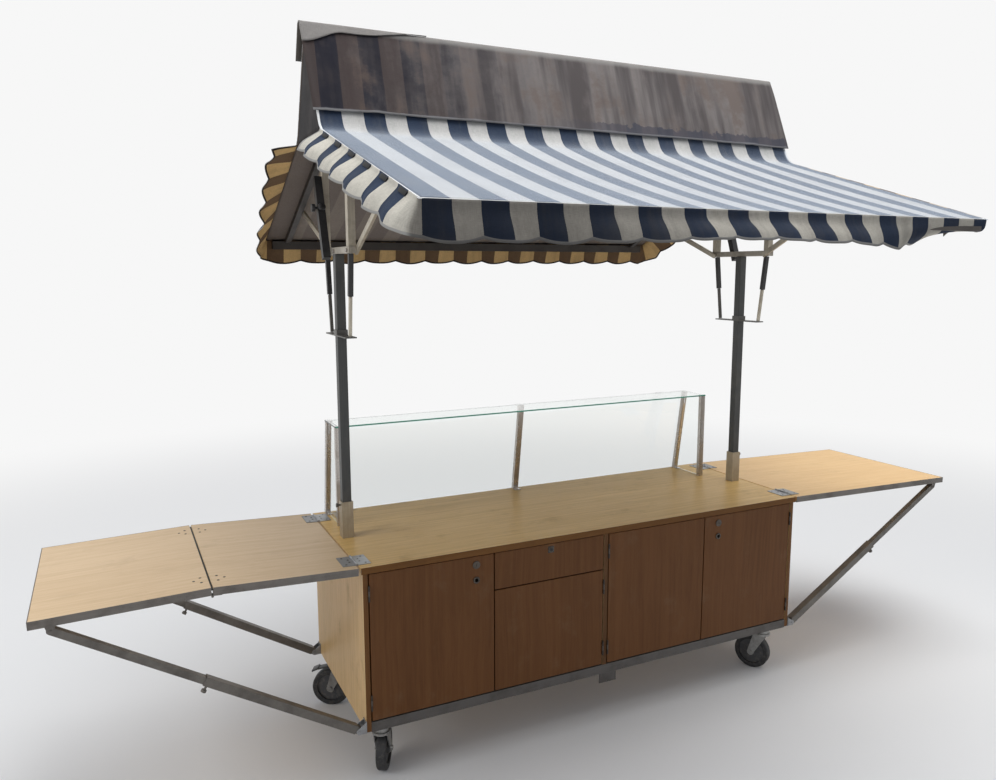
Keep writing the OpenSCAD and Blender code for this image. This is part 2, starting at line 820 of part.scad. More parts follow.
// How much taller than its thickness a layer on a slope is, measured upright or level
function upright(slope) = norm(slope) / slope[0];
function level(slope) = norm(slope) / slope[1];

// Height of the canvas's top at a distance y from the middle, and of a layer t under it
function front_roof_z(y, t = 0) =
    kink_z - (y - kink_y) * front_slope[1] / front_slope[0] - t * upright(front_slope);
function rear_roof_z(y, t = 0) =
    kink_z - (y - kink_y) * rear_slope[1] / rear_slope[0] - t * upright(rear_slope);

// Distance from the middle of a layer t under the steep ridge section's canvas, at the height z
function steep_y(z, t = 0) = (ridge_z - z) * steep_slope[0] / steep_slope[1] - t * level(steep_slope);

rafter_drop = cloth_t + 2 * seat + roof_rail_w / 2;
kink_rail_z = kink_z - cloth_t - roof_rail_w - 8;
ridge_rail_z = ridge_z - (roof_rail_w / 2 + 0.4) * steep_slope[1] / steep_slope[0]
    - cloth_t * upright(steep_slope) - roof_rail_w;

module head_struts() {
    foot_y = arm_half - head_w / 2;
    reach_y = foot_y + strut_reach;
    tip = rafter_drop + roof_rail_w / 2 - 4;
    color("tan") placed() for (s = [-1, 1]) side(s) {
        for (t = [-1, 1]) {
            // upright under the kink rail
            slab([head_w, head_w, kink_rail_z - seat - arm_top], [post_x, t * kink_y, arm_top]);
            // knee brace rod, between the crossbar's end and the black tube
            cross_bar(post_x, [t * (bar_half - 12), bar_z + 6.5], [t * (bar_half + 6), bar_z + 150], 12, 12);
        }
        // slanting struts that carry the rafters, beside the crossarm
        slant_x = post_x - head_w / 2 - slant_w / 4 - seat;
        cross_bar(slant_x, [14 - foot_y, arm_z + 4], [-reach_y, front_roof_z(reach_y, tip)],
            slant_w / 2, slant_w);
        cross_bar(slant_x, [foot_y - 14, arm_z + 4], [reach_y, rear_roof_z(reach_y, tip)],
            slant_w / 2, slant_w);
    }
}

module black_levers() {
    foot = [lever_foot_y, arm_z - 16];
    top = [kink_y, arm_z + lever_rise];
    knob = foot + 0.62 * (top - foot);
    color(black) placed() for (s = [-1, 1]) side(s) {
        cross_bar(lever_x, foot, top, head_w, head_w);
        // clamp knob on the lever's outer face
        translate([lever_x + head_w / 2 - eps, knob[0], knob[1]]) rotate([0, 90, 0]) {
            cylinder(r = 5, h = 10);
            translate([0, 0, 9]) cylinder(r = lever_knob_r, h = 12);
        }
        // the black tubes of the knee braces
        for (t = [-1, 1])
            cross_bar(post_x, [t * (bar_half + 6), bar_z + 151], [t * (bar_half + 24), arm_z - 1.5], 17, 17);
    }
}

// Roof frame

front_eave_y = front_reach - cloth_t - 1 - roof_rail_w / 2;
rear_eave_y = rear_reach - cloth_t - 1 - roof_rail_w / 2;

module roof_rails() {
    w = roof_rail_w;
    l = roof_l - 60;
    color("tan") placed() {
        for (t = [-1, 1]) slab([l, w, w], [0, t * kink_y, kink_rail_z]);
        slab([l, w, w], [0, 0, ridge_rail_z]);
        // the eave rails, behind the valances
        slab([l, w, eave_rail_h],
            [0, -front_eave_y, front_roof_z(front_eave_y + w / 2, cloth_t + seat) - eave_rail_h]);
        slab([l, w, eave_rail_h],
            [0, rear_eave_y, rear_roof_z(rear_eave_y + w / 2, cloth_t + seat) - eave_rail_h]);
    }
}

module rafters() {
    w = roof_rail_w;
    thin = 18;
    steep_drop = cloth_t + 2 * seat + thin / 2;
    // the rafters begin beside the uprights that carry the kink rails
    front_start = kink_y + head_w / 2 + seat + w / 2 * front_slope[1] / norm(front_slope);
    rear_start = kink_y + head_w / 2 + seat + w / 2 * rear_slope[1] / norm(rear_slope);
    front_end = front_eave_y - w / 2 - w * 0.17;
    rear_end = rear_eave_y - w / 2 - w * 0.22;
    low = kink_rail_z + w + 5;
    high = ridge_rail_z - 5;
    color("tan") placed() for (s = [-1, 1]) {
        cross_bar(s * post_x, [-front_start, front_roof_z(front_start, rafter_drop)],
            [-front_end, front_roof_z(front_end, rafter_drop)], w, w);
        cross_bar(s * post_x, [rear_start, rear_roof_z(rear_start, rafter_drop)],
            [rear_end, rear_roof_z(rear_end, rafter_drop)], w, w);
        // the frame of the steep ridge section
        for (t = [-1, 1])
            cross_bar(s * post_x, [t * steep_y(low, steep_drop), low], [t * steep_y(high, steep_drop), high],
                thin, thin);
    }
}

// Canvas

// One half of the canvas from the ridge over the kink to an eave, as a strip of constant thickness
module canvas_half(reach, eave_z, slope) {
    // the inner corner at the kink lies on the bisector of the two inward normals
    n = [-steep_slope[1], -steep_slope[0]] / norm(steep_slope);
    m = [-slope[1], -slope[0]] / norm(slope);
    corner = cloth_t * (n + m) / (1 + n * m);
    rotate([90, 0, 90]) linear_extrude(roof_l, center = true) polygon([
        [seat / 2, ridge_z],
        [kink_y, kink_z],
        [reach, eave_z],
        [reach, eave_z - cloth_t * upright(slope)],
        [kink_y, kink_z] + corner,
        [seat / 2, ridge_z - cloth_t * upright(steep_slope)]
    ]);
}

module canopy_front() {
    color("lightsteelblue") placed()
        mirror([0, 1, 0]) canvas_half(front_reach - cloth_t, front_eave_z, front_slope);
}

module canopy_rear() {
    color("lightsteelblue") placed()
        canvas_half(rear_reach - cloth_t, rear_eave_z, rear_slope);
}

module ridge_cover() {
    steep = (ridge_z - kink_z) / kink_y;
    out = cover_play;
    t = cloth_t;
    front_y = cover_front_drop / steep;
    rear_y = cover_rear_drop / steep;
    color("dimgray") placed() rotate([90, 0, 90]) linear_extrude(cover_l, center = true) polygon([
        [-front_y - out, ridge_z - cover_front_drop],
        [-front_y - out - t, ridge_z - cover_front_drop],
        [-out - t, ridge_z + out],
        [-out, ridge_z + out + t],
        [out, ridge_z + out + t],
        [out + t, ridge_z + out],
        [rear_y + out + t, ridge_z - cover_rear_drop],
        [rear_y + out, ridge_z - cover_rear_drop],
        [out, ridge_z + seat],
        [-out, ridge_z + seat]
    ]);
}

module ridge_ends() {
    t = 3;
    low = kink_z - 4;
    high = ridge_z - cloth_t * upright(steep_slope) - 12;
    color("dimgray") placed() for (s = [-1, 1]) translate([s * (roof_l / 2 - t / 2 - 2), 0, 0])
        rotate([90, 0, 90]) linear_extrude(t, center = true) polygon([
            [-steep_y(low, cloth_t + 2), low], [steep_y(low, cloth_t + 2), low],
            [steep_y(high, cloth_t + 0.5), high], [-steep_y(high, cloth_t + 0.5), high]
        ]);
}

// The scalloped lower edge of a valance: depth below its top line at a distance u along it
function scallop(u, l) =
    let (n = max(1, round(l / scallop_l)), p = u * n / l, f = p - floor(p))
    valance_h - scallop_h * (1 - sin(180 * f));

// A valance's outline from the start of its top line, along the eave; its end may lean by a slope
function valance_outline(l, lean = 0) = let (steps = 8 * max(1, round(l / scallop_l))) concat(
    [for (i = [0 : steps]) [(l + lean * valance_h) * i / steps, -scallop(l * i / steps, l)]],
    [[l, 0], [0, 0]]
);

// An eave's valance: its top hangs plumb, its hem stands out by a flare
module eave_valance(flare) {
    plumb = 34;
    intersection() {
        translate([0, cloth_t, 0]) rotate([90, 0, 0]) linear_extrude(flare + 3 * cloth_t)
            polygon(valance_outline(roof_l));
        rotate([90, 0, 90]) linear_extrude(roof_l) polygon([
            [0, 0],
            [-cloth_t, 0],
            [-cloth_t, -plumb],
            [-flare, -valance_h],
            [-flare + cloth_t, -valance_h],
            [0, -plumb]
        ]);
    }
}

module front_valance() {
    color("navy") placed() translate([-roof_l / 2, -front_reach + cloth_t, front_eave_z])
        eave_valance(front_flare + cloth_t);
}

module rear_valance() {
    color("navy") placed() translate([-roof_l / 2, rear_reach - cloth_t, rear_eave_z])
        mirror([0, 1, 0]) eave_valance(rear_flare + cloth_t);
}

// A gable's valance on one slope, turned outwards about the slope's edge
module slope_valance(slope, run, out) {
    rotate([-atan2(slope[1], slope[0]), 0, 0]) rotate([0, -out, 0]) translate([-3, 0, 0])
        rotate([90, 0, 90]) linear_extrude(3)
            polygon(valance_outline(run * norm(slope) / slope[0], slope[1] / slope[0]));
}

module gable_valances() {
    gap = 6;
    run_f = front_reach - kink_y - cloth_t - gap - 1;
    run_r = rear_reach - kink_y - cloth_t - gap - 1;
    color("navy") placed() for (s = [-1, 1]) side(s) {
        translate([roof_l / 2, -kink_y - gap, front_roof_z(kink_y + gap, cloth_t + seat)])
            mirror([0, 1, 0]) slope_valance(front_slope, run_f, gable_front_out);
        translate([roof_l / 2, kink_y + gap, rear_roof_z(kink_y + gap, cloth_t + seat)])
            slope_valance(rear_slope, run_r, gable_rear_out);
    }
}

// Glass guard

guard_x0 = -half_l + guard_left;
guard_x1 = half_l - guard_right;
guard_z = counter_h + guard_h;
guard_foot_y = half_d - guard_foot_edge;
guard_rear_y = guard_foot_y - guard_lean;
guard_mid_x = (guard_x0 + guard_x1) / 2 - 24;
rear_glass_off = upright_d / 2 + glass_t / 2 + seat;

module guard_top_glass() {
    color([0.7, 0.9, 0.8, 0.5]) placed()
        translate([guard_x0, guard_front_y, guard_z])
            cube([guard_x1 - guard_x0, guard_rear_y + upright_d + 6 - guard_front_y, glass_t]);
}

module guard_side_glasses() {
    lean = atan2(guard_lean, guard_h);
    inset = upright_w / 2;
    color([0.7, 0.9, 0.8, 0.5]) placed() {
        // rear glass, behind the leaning uprights
        cross_plate = guard_x1 - guard_x0;
        translate([(guard_x0 + guard_x1) / 2, guard_foot_y + rear_glass_off, counter_h + seat])
            rotate([lean, 0, 0])
                translate([-cross_plate / 2, -glass_t / 2, 1])
                    cube([cross_plate, glass_t, guard_h / cos(lean) - 2.5]);
        // end glasses, between the upright in front and the leaning one behind
        for (x = [guard_x0 + inset, guard_x1 - inset])
            translate([x, 0, counter_h]) rotate([90, 0, 90]) linear_extrude(glass_t, center = true) polygon([
                [guard_front_y + upright_d + 2 + seat, 3.3],
                [guard_foot_y - upright_d / 2 - 1, 3.3],
                [guard_rear_y - upright_d / 2 - 0.5, guard_h - 0.5],
                [guard_front_y + upright_d + 2 + seat, guard_h - 0.5]
            ]);
    }
}

module guard_uprights() {
    inset = upright_w / 2;
    color("silver") placed() {
        for (x = [guard_x0 + inset, guard_x1 - inset])
            slab([upright_w, upright_d, guard_h - seat], [x, guard_front_y + upright_d / 2 + 2, counter_h]);
        for (x = [guard_x0 + inset, guard_mid_x, guard_x1 - inset]) intersection() {
            cross_bar(x, [guard_foot_y + guard_lean * 0.1, counter_h - guard_h * 0.1],
                [guard_rear_y - guard_lean * 0.1, guard_z + guard_h * 0.1], upright_w, upright_d);
            slab([100, counter_d, guard_h - seat], [x, 0, counter_h]);
        }
        // foot plates of the leaning uprights
        for (x = [guard_x0 + inset, guard_mid_x, guard_x1 - inset])
            slab([upright_w + 4, 44, 3], [x, guard_foot_y - 14, counter_h]);
    }
}

worktop();
side_panels();
back_panel();
cabinet_floor();
partitions();
base_frame();
strut_brackets();
worktop_hinges();
door_hinges();
door_1();
door_1_fittings();
door_2();
door_2_fittings();
door_3();
door_3_fittings();
door_4();
door_4_fittings();
drawer_front();
drawer_box();
drawer_lock();
left_inner_leaf();
left_inner_trim();
left_outer_leaf();
left_outer_trim();
right_leaf();
right_leaf_trim();
strut_upper(-1, -1);  // left_front_strut_upper
strut_lower(-1, -1);  // left_front_strut_lower
strut_upper(-1, 1);  // left_rear_strut_upper
strut_lower(-1, 1);  // left_rear_strut_lower
strut_upper(1, -1);  // right_front_strut_upper
strut_lower(1, -1);  // right_front_strut_lower
strut_upper(1, 1);  // right_rear_strut_upper
strut_lower(1, 1);  // right_rear_strut_lower
fork(-1, -1);  // front_left_fork
wheel(-1, -1);  // front_left_wheel
fork(1, -1);  // front_right_fork
wheel(1, -1);  // front_right_wheel
fork(-1, 1);  // rear_left_fork
wheel(-1, 1);  // rear_left_wheel
fork(1, 1);  // rear_right_fork
wheel(1, 1);  // rear_right_wheel
post_sockets();
posts();
crossarms();
head_struts();
black_levers();
roof_rails();
rafters();
canopy_front();
canopy_rear();
ridge_cover();
ridge_ends();
front_valance();
rear_valance();
gable_valances();
guard_top_glass();
guard_side_glasses();
guard_uprights();
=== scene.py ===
import math
import bmesh
import bpy
from mathutils import Matrix, Vector, noise


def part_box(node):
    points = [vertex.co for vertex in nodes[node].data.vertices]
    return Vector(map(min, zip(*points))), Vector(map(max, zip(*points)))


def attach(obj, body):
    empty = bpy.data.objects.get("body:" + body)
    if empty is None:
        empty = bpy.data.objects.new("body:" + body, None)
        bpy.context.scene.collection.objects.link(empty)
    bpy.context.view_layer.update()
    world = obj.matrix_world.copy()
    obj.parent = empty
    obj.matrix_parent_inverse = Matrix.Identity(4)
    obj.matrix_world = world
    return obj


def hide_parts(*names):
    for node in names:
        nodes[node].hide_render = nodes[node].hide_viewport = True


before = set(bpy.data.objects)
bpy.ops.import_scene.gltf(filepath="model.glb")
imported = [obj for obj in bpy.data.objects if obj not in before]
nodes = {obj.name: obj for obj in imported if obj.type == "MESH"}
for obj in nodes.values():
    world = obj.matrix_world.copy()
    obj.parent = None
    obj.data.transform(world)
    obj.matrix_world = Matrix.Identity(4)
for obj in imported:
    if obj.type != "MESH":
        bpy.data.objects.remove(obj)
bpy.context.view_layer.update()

# Studio: the camera stands where the photographer stood, in front of the seller's side near the left leaf.
# A pale floor, a white surround and three soft lamps light the stall evenly.
top_low, top_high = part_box("worktop")
middle_y = ((top_low + top_high) / 2).y
photo_width, focal_length = 996, 813.7


def placed(name, data):
    """A new object in the scene, at the origin."""
    piece = bpy.data.objects.new(name, data)
    bpy.context.scene.collection.objects.link(piece)
    return piece


def from_bmesh(name, shape):
    """A new object with the mesh of a bmesh, which is then let go."""
    piece = placed(name, bpy.data.meshes.new(name))
    shape.to_mesh(piece.data)
    shape.free()
    return piece


camera = placed("camera", bpy.data.cameras.new("camera"))
bpy.context.scene.camera = camera
camera.data.sensor_width = 36
camera.data.lens = camera.data.sensor_width * focal_length / photo_width
camera.data.clip_end = 60
camera.location = (-1.759, middle_y - 2.995, 1.865)
camera.rotation_euler = (math.radians(81.6), math.radians(0.14), math.radians(-25.83))


def fill(tree, node, values):
    """Gives a node's sockets their values, colours and links."""
    for key, value in values.items():
        socket = node.inputs[key]
        if isinstance(value, bpy.types.NodeSocket):
            tree.links.new(value, socket)
        else:
            socket.default_value = (*value, 1) if socket.type == "RGBA" else value


def add(tree, kind, values=None, **settings):
    """Puts a shader node in a tree, with its settings, values and links."""
    node = tree.nodes.new("ShaderNode" + kind)
    for key, value in settings.items():
        setattr(node, key, value)
    fill(tree, node, values or {})
    return node


def maths(tree, operation, first, second=0.0, third=0.0, clamp=False):
    """One sum, as an output socket."""
    return add(tree, "Math", {0: first, 1: second, 2: third}, operation=operation, use_clamp=clamp).outputs[0]


def ranged(tree, value, low, high, to_low=0.0, to_high=1.0, smooth=True):
    """A value moved from one range to another, and held inside it."""
    values = {"Value": value, "From Min": low, "From Max": high, "To Min": to_low, "To Max": to_high}
    return add(tree, "MapRange", values,
               interpolation_type="SMOOTHSTEP" if smooth else "LINEAR").outputs["Result"]


def white_where_seen(tree, shader, surface):
    """White for the camera, in reflections and through glass, and the shader itself elsewhere."""
    path = add(tree, "LightPath").outputs
    seen = maths(tree, "MAXIMUM", path["Is Camera Ray"], path["Is Glossy Ray"])
    seen = maths(tree, "MAXIMUM", seen, path["Is Transmission Ray"])
    white = add(tree, "Background", {"Color": (0.93, 0.93, 0.93), "Strength": 1.0})
    mixed = add(tree, "MixShader", {0: seen, 1: shader, 2: white.outputs[0]})
    tree.links.new(mixed.outputs[0], surface)


def new_material(name):
    """A material with its node tree and shader."""
    material = bpy.data.materials.new(name)
    material.use_nodes = True
    return material, material.node_tree, material.node_tree.nodes["Principled BSDF"]


world = bpy.data.worlds.new("studio")
bpy.context.scene.world = world
world.use_nodes = True
sky = world.node_tree
fill(sky, sky.nodes["Background"], {"Color": (0.86, 0.90, 1.0), "Strength": 0.40})
white_where_seen(sky, sky.nodes["Background"].outputs[0], sky.nodes["World Output"].inputs["Surface"])

for name, place, aim, size, power in (
    ("lamp_above", (0.9, -0.4, 6.2), (0.1, 0, 1.0), 5.0, 330),
    ("lamp_left", (-6.0, -0.6, 4.2), (-0.5, 0, 1.0), 3.5, 160),
    ("lamp_front", (1.5, -7.0, 3.0), (0.3, 0, 1.2), 4.0, 17),
):
    lamp = placed(name, bpy.data.lights.new(name, "AREA"))
    lamp.data.size = size
    lamp.data.energy = power
    lamp.location = place
    lamp.rotation_euler = (Vector(aim) - Vector(place)).to_track_quat("-Z", "Y").to_euler()

floor_shape = bmesh.new()
bmesh.ops.create_grid(floor_shape, x_segments=1, y_segments=1, size=20)
floor = from_bmesh("studio_floor", floor_shape)
floor_material, tree, shader = new_material("studio_floor")
fill(tree, shader, {"Base Color": (0.78, 0.78, 0.77), "Roughness": 0.85})
spot = add(tree, "NewGeometry").outputs["Position"]
away = add(tree, "VectorMath", {0: spot}, operation="LENGTH").outputs["Value"]
faded_floor = add(tree, "MixShader", {0: ranged(tree, away, 1.6, 7.5), 1: shader.outputs[0]})
white_where_seen(tree, shader.outputs[0], faded_floor.inputs[2])
tree.links.new(faded_floor.outputs[0], tree.nodes["Material Output"].inputs["Surface"])
floor.data.materials.append(floor_material)
bpy.context.scene.view_settings.view_transform = "Standard"


def new_group(name, **inputs):
    """A node group with named inputs, which puts out a colour, a roughness and a height."""
    group = bpy.data.node_groups.new(name, "ShaderNodeTree")
    outputs = {"Color": "Color", "Roughness": "Float", "Height": "Float"}
    for direction, sockets in (("INPUT", inputs), ("OUTPUT", outputs)):
        for socket, kind in sockets.items():
            group.interface.new_socket(socket, in_out=direction, socket_type="NodeSocket" + kind)
    return group, group.nodes.new("NodeGroupInput").outputs, group.nodes.new("NodeGroupOutput")


def times(tree, first, second):
    """The product of two values."""
    return maths(tree, "MULTIPLY", first, second)


def mix(tree, factor, first, second, how="MIX"):
    """The colour between two others, as an output socket."""
    return add(tree, "Mix", {0: factor, 6: first, 7: second}, data_type="RGBA", blend_type=how).outputs[2]


def even_noise(tree, vector, scale, detail, rough=0.5):
    """Noise that is alike in all directions."""
    values = {"Vector": vector, "Scale": scale, "Detail": detail, "Roughness": rough}
    return add(tree, "TexNoise", values).outputs["Fac"]


def stretched_noise(tree, vector, stretch, detail, rough, scale=1.0):
    """Noise in a space that is stretched along each direction."""
    space = add(tree, "VectorMath", {0: vector, 1: stretch}, operation="MULTIPLY").outputs[0]
    return even_noise(tree, space, scale, detail, rough)


def on_axes(tree, space):
    """The X, Y and Z of one of a piece's spaces: Object, UV or Normal."""
    return add(tree, "SeparateXYZ", {0: add(tree, "TexCoord").outputs[space]}).outputs


def bumped(tree, strength, distance, height):
    """The normal of a surface with a height."""
    return add(tree, "Bump", {"Strength": strength, "Distance": distance, "Height": height}).outputs[0]


# Wood grain along X: wavy growth lines, fine fibres, short pores and a cloudy tone
board_grain, given, result = new_group("board_grain", Vector="Vector", Light="Color", Dark="Color",
                                       Contrast="Float", Soiling="Float")
tree, vector = board_grain, given["Vector"]
wander = add(tree, "TexNoise", {"Vector": vector, "Scale": 1.6, "Detail": 2.0}).outputs["Color"]
bent = add(tree, "VectorMath", {0: wander, 1: (0.0, 0.05, 0.05), 2: vector},
           operation="MULTIPLY_ADD").outputs[0]
lines = stretched_noise(tree, bent, (1.3, 70, 70), 5.0, 0.62)
fibres = stretched_noise(tree, bent, (9, 420, 420), 2.0, 0.5)
pores = stretched_noise(tree, vector, (26, 640, 640), 1.0, 0.5)
cloud = stretched_noise(tree, vector, (1.0, 4.0, 4.0), 3.0, 0.6)
stain = stretched_noise(tree, vector, (5.0, 7.0, 7.0), 6.0, 0.7)
tone = maths(tree, "MULTIPLY_ADD", fibres, 0.22, times(tree, cloud, 0.28))
tone = ranged(tree, maths(tree, "MULTIPLY_ADD", lines, 0.62, tone), 0.40, 0.74)
tone = times(tree, maths(tree, "SUBTRACT", tone, 0.5), given["Contrast"])
pore_mask = ranged(tree, pores, 0.60, 0.72)
soil_mask = times(tree, ranged(tree, stain, 0.54, 0.74), given["Soiling"])
colour = mix(tree, maths(tree, "ADD", tone, 0.5, clamp=True), given["Light"], given["Dark"])
colour = mix(tree, times(tree, pore_mask, 0.30), colour, given["Dark"])
fill(tree, result, {
    "Color": mix(tree, soil_mask, colour, (0.20, 0.13, 0.075)),
    "Roughness": ranged(tree, maths(tree, "ADD", fibres, soil_mask), 0.3, 1.2, 0.36, 0.58),
    "Height": maths(tree, "SUBTRACT", times(tree, fibres, 0.4), times(tree, pore_mask, 0.6))})


def board(name, light, dark, contrast, soiling, turn=(0, 0, 0), shift=(0, 0, 0), shade_edge_y=None):
    """A clear-coated board, its grain turned along the piece; its front edge, in front of a given y, is painted
    shade brown.
    """
    material, tree, shader = new_material(name)
    values = {"Vector": add(tree, "TexCoord").outputs["Object"], "Rotation": turn, "Location": shift}
    space = add(tree, "Mapping", values).outputs[0]
    values = {"Vector": space, "Light": light, "Dark": dark, "Contrast": contrast, "Soiling": soiling}
    grain = add(tree, "Group", values, node_tree=board_grain).outputs
    colour = grain["Color"]
    # Painted shade: the board's forward-facing front edge is darkened brown.
    if shade_edge_y is not None:
        in_edge_shade = ranged(tree, on_axes(tree, "Object")["Y"], shade_edge_y - 0.0003, shade_edge_y + 0.0003, 1.0, 0.0, False)
        brown = mix(tree, 1.0, colour, (0.24, 0.160, 0.110), "MULTIPLY")
        colour = mix(tree, in_edge_shade, colour, brown)
    fill(tree, shader, {
        "Base Color": colour, "Roughness": grain["Roughness"], "Coat Weight": 0.03, "Coat Roughness": 0.30,
        "Specular IOR Level": 0.13, "Normal": bumped(tree, 0.25, 0.0006, grain["Height"])})
    return material


def finished(piece, material, body):
    """Gives a piece its material and body."""
    piece.data.materials.clear()
    piece.data.materials.append(material)
    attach(piece, body)
    return piece


def eased(node, material, width=0.0015, segments=2, body="counter"):
    """A copy of a CAD node with its sharp edges rounded as sanding or drawing leaves them."""
    piece = placed("finished_" + node, nodes[node].data.copy())
    shape = bmesh.new()
    shape.from_mesh(piece.data)
    bmesh.ops.remove_doubles(shape, verts=shape.verts, dist=1e-5)
    bmesh.ops.dissolve_limit(shape, angle_limit=0.02, verts=shape.verts, edges=shape.edges)
    shape.to_mesh(piece.data)
    shape.free()
    bevel = piece.modifiers.new("eased_edges", "BEVEL")
    bevel.width = width
    bevel.segments = segments
    bevel.limit_method = "ANGLE"
    bevel.angle_limit = math.radians(50)
    bevel.harden_normals = True
    finished(piece, material, body)
    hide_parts(node)


# The worktop's front edge is darkened brown as painted shade.
eased("worktop", board("worktop_beech", (0.70, 0.465, 0.180), (0.53, 0.330, 0.112), 0.85, 0.30,
                       shade_edge_y=top_low.y + 0.0012))


# Cabinet: a box of beech-faced board 18 mm thick, glued and screwed, standing in the aluminium base frame.
# The end panels show their face veneer upright, and the inside boards are plainer and a little paler.
upright = (0, math.radians(90), 0)
# The end panels' and partitions' front edges are darkened brown as painted shade.
edge_shade_depth = 0.0010
panel_wood = board("panel_beech", (0.68, 0.460, 0.215), (0.52, 0.335, 0.14), 0.8, 0.45, upright, (0.3, 0.1, 0),
                   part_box("side_panels")[0].y + edge_shade_depth)
inside_wood = board("inside_beech", (0.52, 0.37, 0.22), (0.40, 0.27, 0.15), 0.7, 0.15)
partition_wood = board("partition_beech", (0.50, 0.345, 0.185), (0.37, 0.245, 0.12), 0.8, 0.2, upright,
                       (0.9, 0.4, 0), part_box("partitions")[0].y + edge_shade_depth)
for node, wood in (("side_panels", panel_wood), ("back_panel", panel_wood), ("cabinet_floor", inside_wood),
                   ("partitions", partition_wood)):
    eased(node, wood, 0.0010)


# Doors and drawer front: four doors and a drawer in reddish beech veneer with upright grain.
# They are stained and varnished, and each board is cut from another part of the sheet; the veneer is coloured
# darker as painted shade on their forward faces.
for number, node in enumerate(("door_1", "door_2", "door_3", "door_4", "drawer_front")):
    # The veneer colours are set darker than the wood as painted shade.
    door_wood_shaded = board("shaded_door_veneer_" + node, (0.158, 0.066, 0.022), (0.098, 0.039, 0.012), 0.66, 0.22, upright,
                      (0.37 * number, 0.21 * number, 0.13 * number))
    eased(node, door_wood_shaded, 0.0012, body="drawer" if node == "drawer_front" else node)
eased("drawer_box", inside_wood, 0.0010, body="drawer")


# Locks and finger holes: nickel-plated rosettes with an upright key slot, and under each a ring round a
# finger hole. The drawer has one square plate with a dark keyhole. All of them are pressed into bores in the
# boards. The nickel is coloured dark as painted shade, and the black key slots and finger-hole bottoms are
# painted shade in the holes.
metal_wear, given, result = new_group("metal_wear", Vector="Vector", Clean="Color", Dull="Color",
                                      Along="Vector", Smudges="Float", Smooth="Float", Rough="Float")
tree, vector = metal_wear, given["Vector"]
drawn = stretched_noise(tree, vector, given["Along"], 2.0, 0.6, 6.0)
smudge_mask = times(tree, ranged(tree, even_noise(tree, vector, 9.0, 6.0, 0.68), 0.42, 0.68), given["Smudges"])
speck_mask = times(tree, ranged(tree, even_noise(tree, vector, 190.0, 2.0), 0.66, 0.74), given["Smudges"])
dulled = maths(tree, "ADD", smudge_mask, times(tree, speck_mask, 0.6), clamp=True)
colour = mix(tree, dulled, given["Clean"], given["Dull"])
fill(tree, result, {
    "Color": mix(tree, ranged(tree, drawn, 0.35, 0.65, 0.0, 0.22), colour, given["Dull"]),
    "Roughness": add(tree, "Mix", {0: dulled, 2: given["Smooth"], 3: given["Rough"]},
                     data_type="FLOAT").outputs[0],
    "Height": maths(tree, "ADD", times(tree, drawn, 0.5), speck_mask)})


def metal(name, clean, dull, along, metallic, smudges, smooth, rough, bump=0.0002):
    """Drawn, plated or coated metal with smudges and fine specks."""
    material, tree, shader = new_material(name)
    values = {"Vector": add(tree, "TexCoord").outputs["Object"], "Clean": clean, "Dull": dull, "Along": along,
              "Smudges": smudges, "Smooth": smooth, "Rough": rough}
    wear = add(tree, "Group", values, node_tree=metal_wear).outputs
    fill(tree, shader, {
        "Base Color": wear["Color"], "Roughness": wear["Roughness"], "Metallic": metallic,
        "Normal": bumped(tree, 0.35, bump, wear["Height"])})
    return material


def dressed(material, *names):
    """Gives CAD nodes a finish as they are."""
    for node in names:
        nodes[node].data.materials.clear()
        nodes[node].data.materials.append(material)


def joined(shape, part):
    """Adds one bmesh to another and lets the first go."""
    bmesh.ops.remove_doubles(part, verts=part.verts, dist=1e-6)
    bmesh.ops.recalc_face_normals(part, faces=part.faces)
    mesh = bpy.data.meshes.new("part")
    part.to_mesh(mesh)
    part.free()
    shape.from_mesh(mesh)
    bpy.data.meshes.remove(mesh)


def turned(shape, outline, place, axis, steps):
    """Adds a turned piece; its outline of radius and height is a closed loop or runs from axis to axis."""
    part = bmesh.new()
    verts = [part.verts.new((radius, 0, height)) for radius, height in outline]
    loop = zip(verts, verts[1:] + (verts[:1] if min(radius for radius, height in outline) > 0 else []))
    edges = [part.edges.new(pair) for pair in loop]
    bmesh.ops.spin(part, geom=verts + edges, cent=(0, 0, 0), axis=(0, 0, 1), angle=math.tau, steps=steps,
                   use_merge=True)
    turn = Vector((0, 0, 1)).rotation_difference(Vector(axis)).to_matrix().to_4x4()
    bmesh.ops.transform(part, matrix=Matrix.Translation(place) @ turn, verts=part.verts)
    joined(shape, part)


def soft_box(shape, size, place, edge, turn=Matrix.Identity(4)):
    """Adds a box with softened edges."""
    part = bmesh.new()
    bmesh.ops.create_cube(part, size=1)
    bmesh.ops.scale(part, vec=size, verts=part.verts)
    bmesh.ops.bevel(part, geom=part.edges[:], offset=min(edge, 0.3 * min(size)), segments=2, profile=0.5,
                    affect="EDGES", material=-1)
    bmesh.ops.transform(part, matrix=Matrix.Translation(place) @ turn, verts=part.verts)
    joined(shape, part)


def new_piece(name, shape, material, body):
    """Turns a bmesh into a piece that rides on a body; its flatter edges are shaded round."""
    for face in shape.faces:
        face.smooth = True
    for edge in shape.edges:
        edge.smooth = len(edge.link_faces) == 2 and edge.calc_face_angle(0) < math.radians(35)
    finished(from_bmesh(name, shape), material, body)


# The nickel is coloured dark as painted shade; the black pieces are painted shade inside holes and gaps.
lock_nickel_shaded = metal("lock_nickel_shaded", (0.105, 0.088, 0.073), (0.045, 0.037, 0.030), (30, 30, 30),
                    0.6, 0.6, 0.36, 0.55)
lock_black = metal("lock_black", (0.026, 0.024, 0.022), (0.050, 0.045, 0.040), (30, 30, 30),
                   0.3, 0.5, 0.42, 0.6)
hole_shade_black = metal("hole_shade_black", (0.012, 0.011, 0.010), (0.03, 0.027, 0.024), (30, 30, 30),
                      0.2, 0.5, 0.5, 0.7)
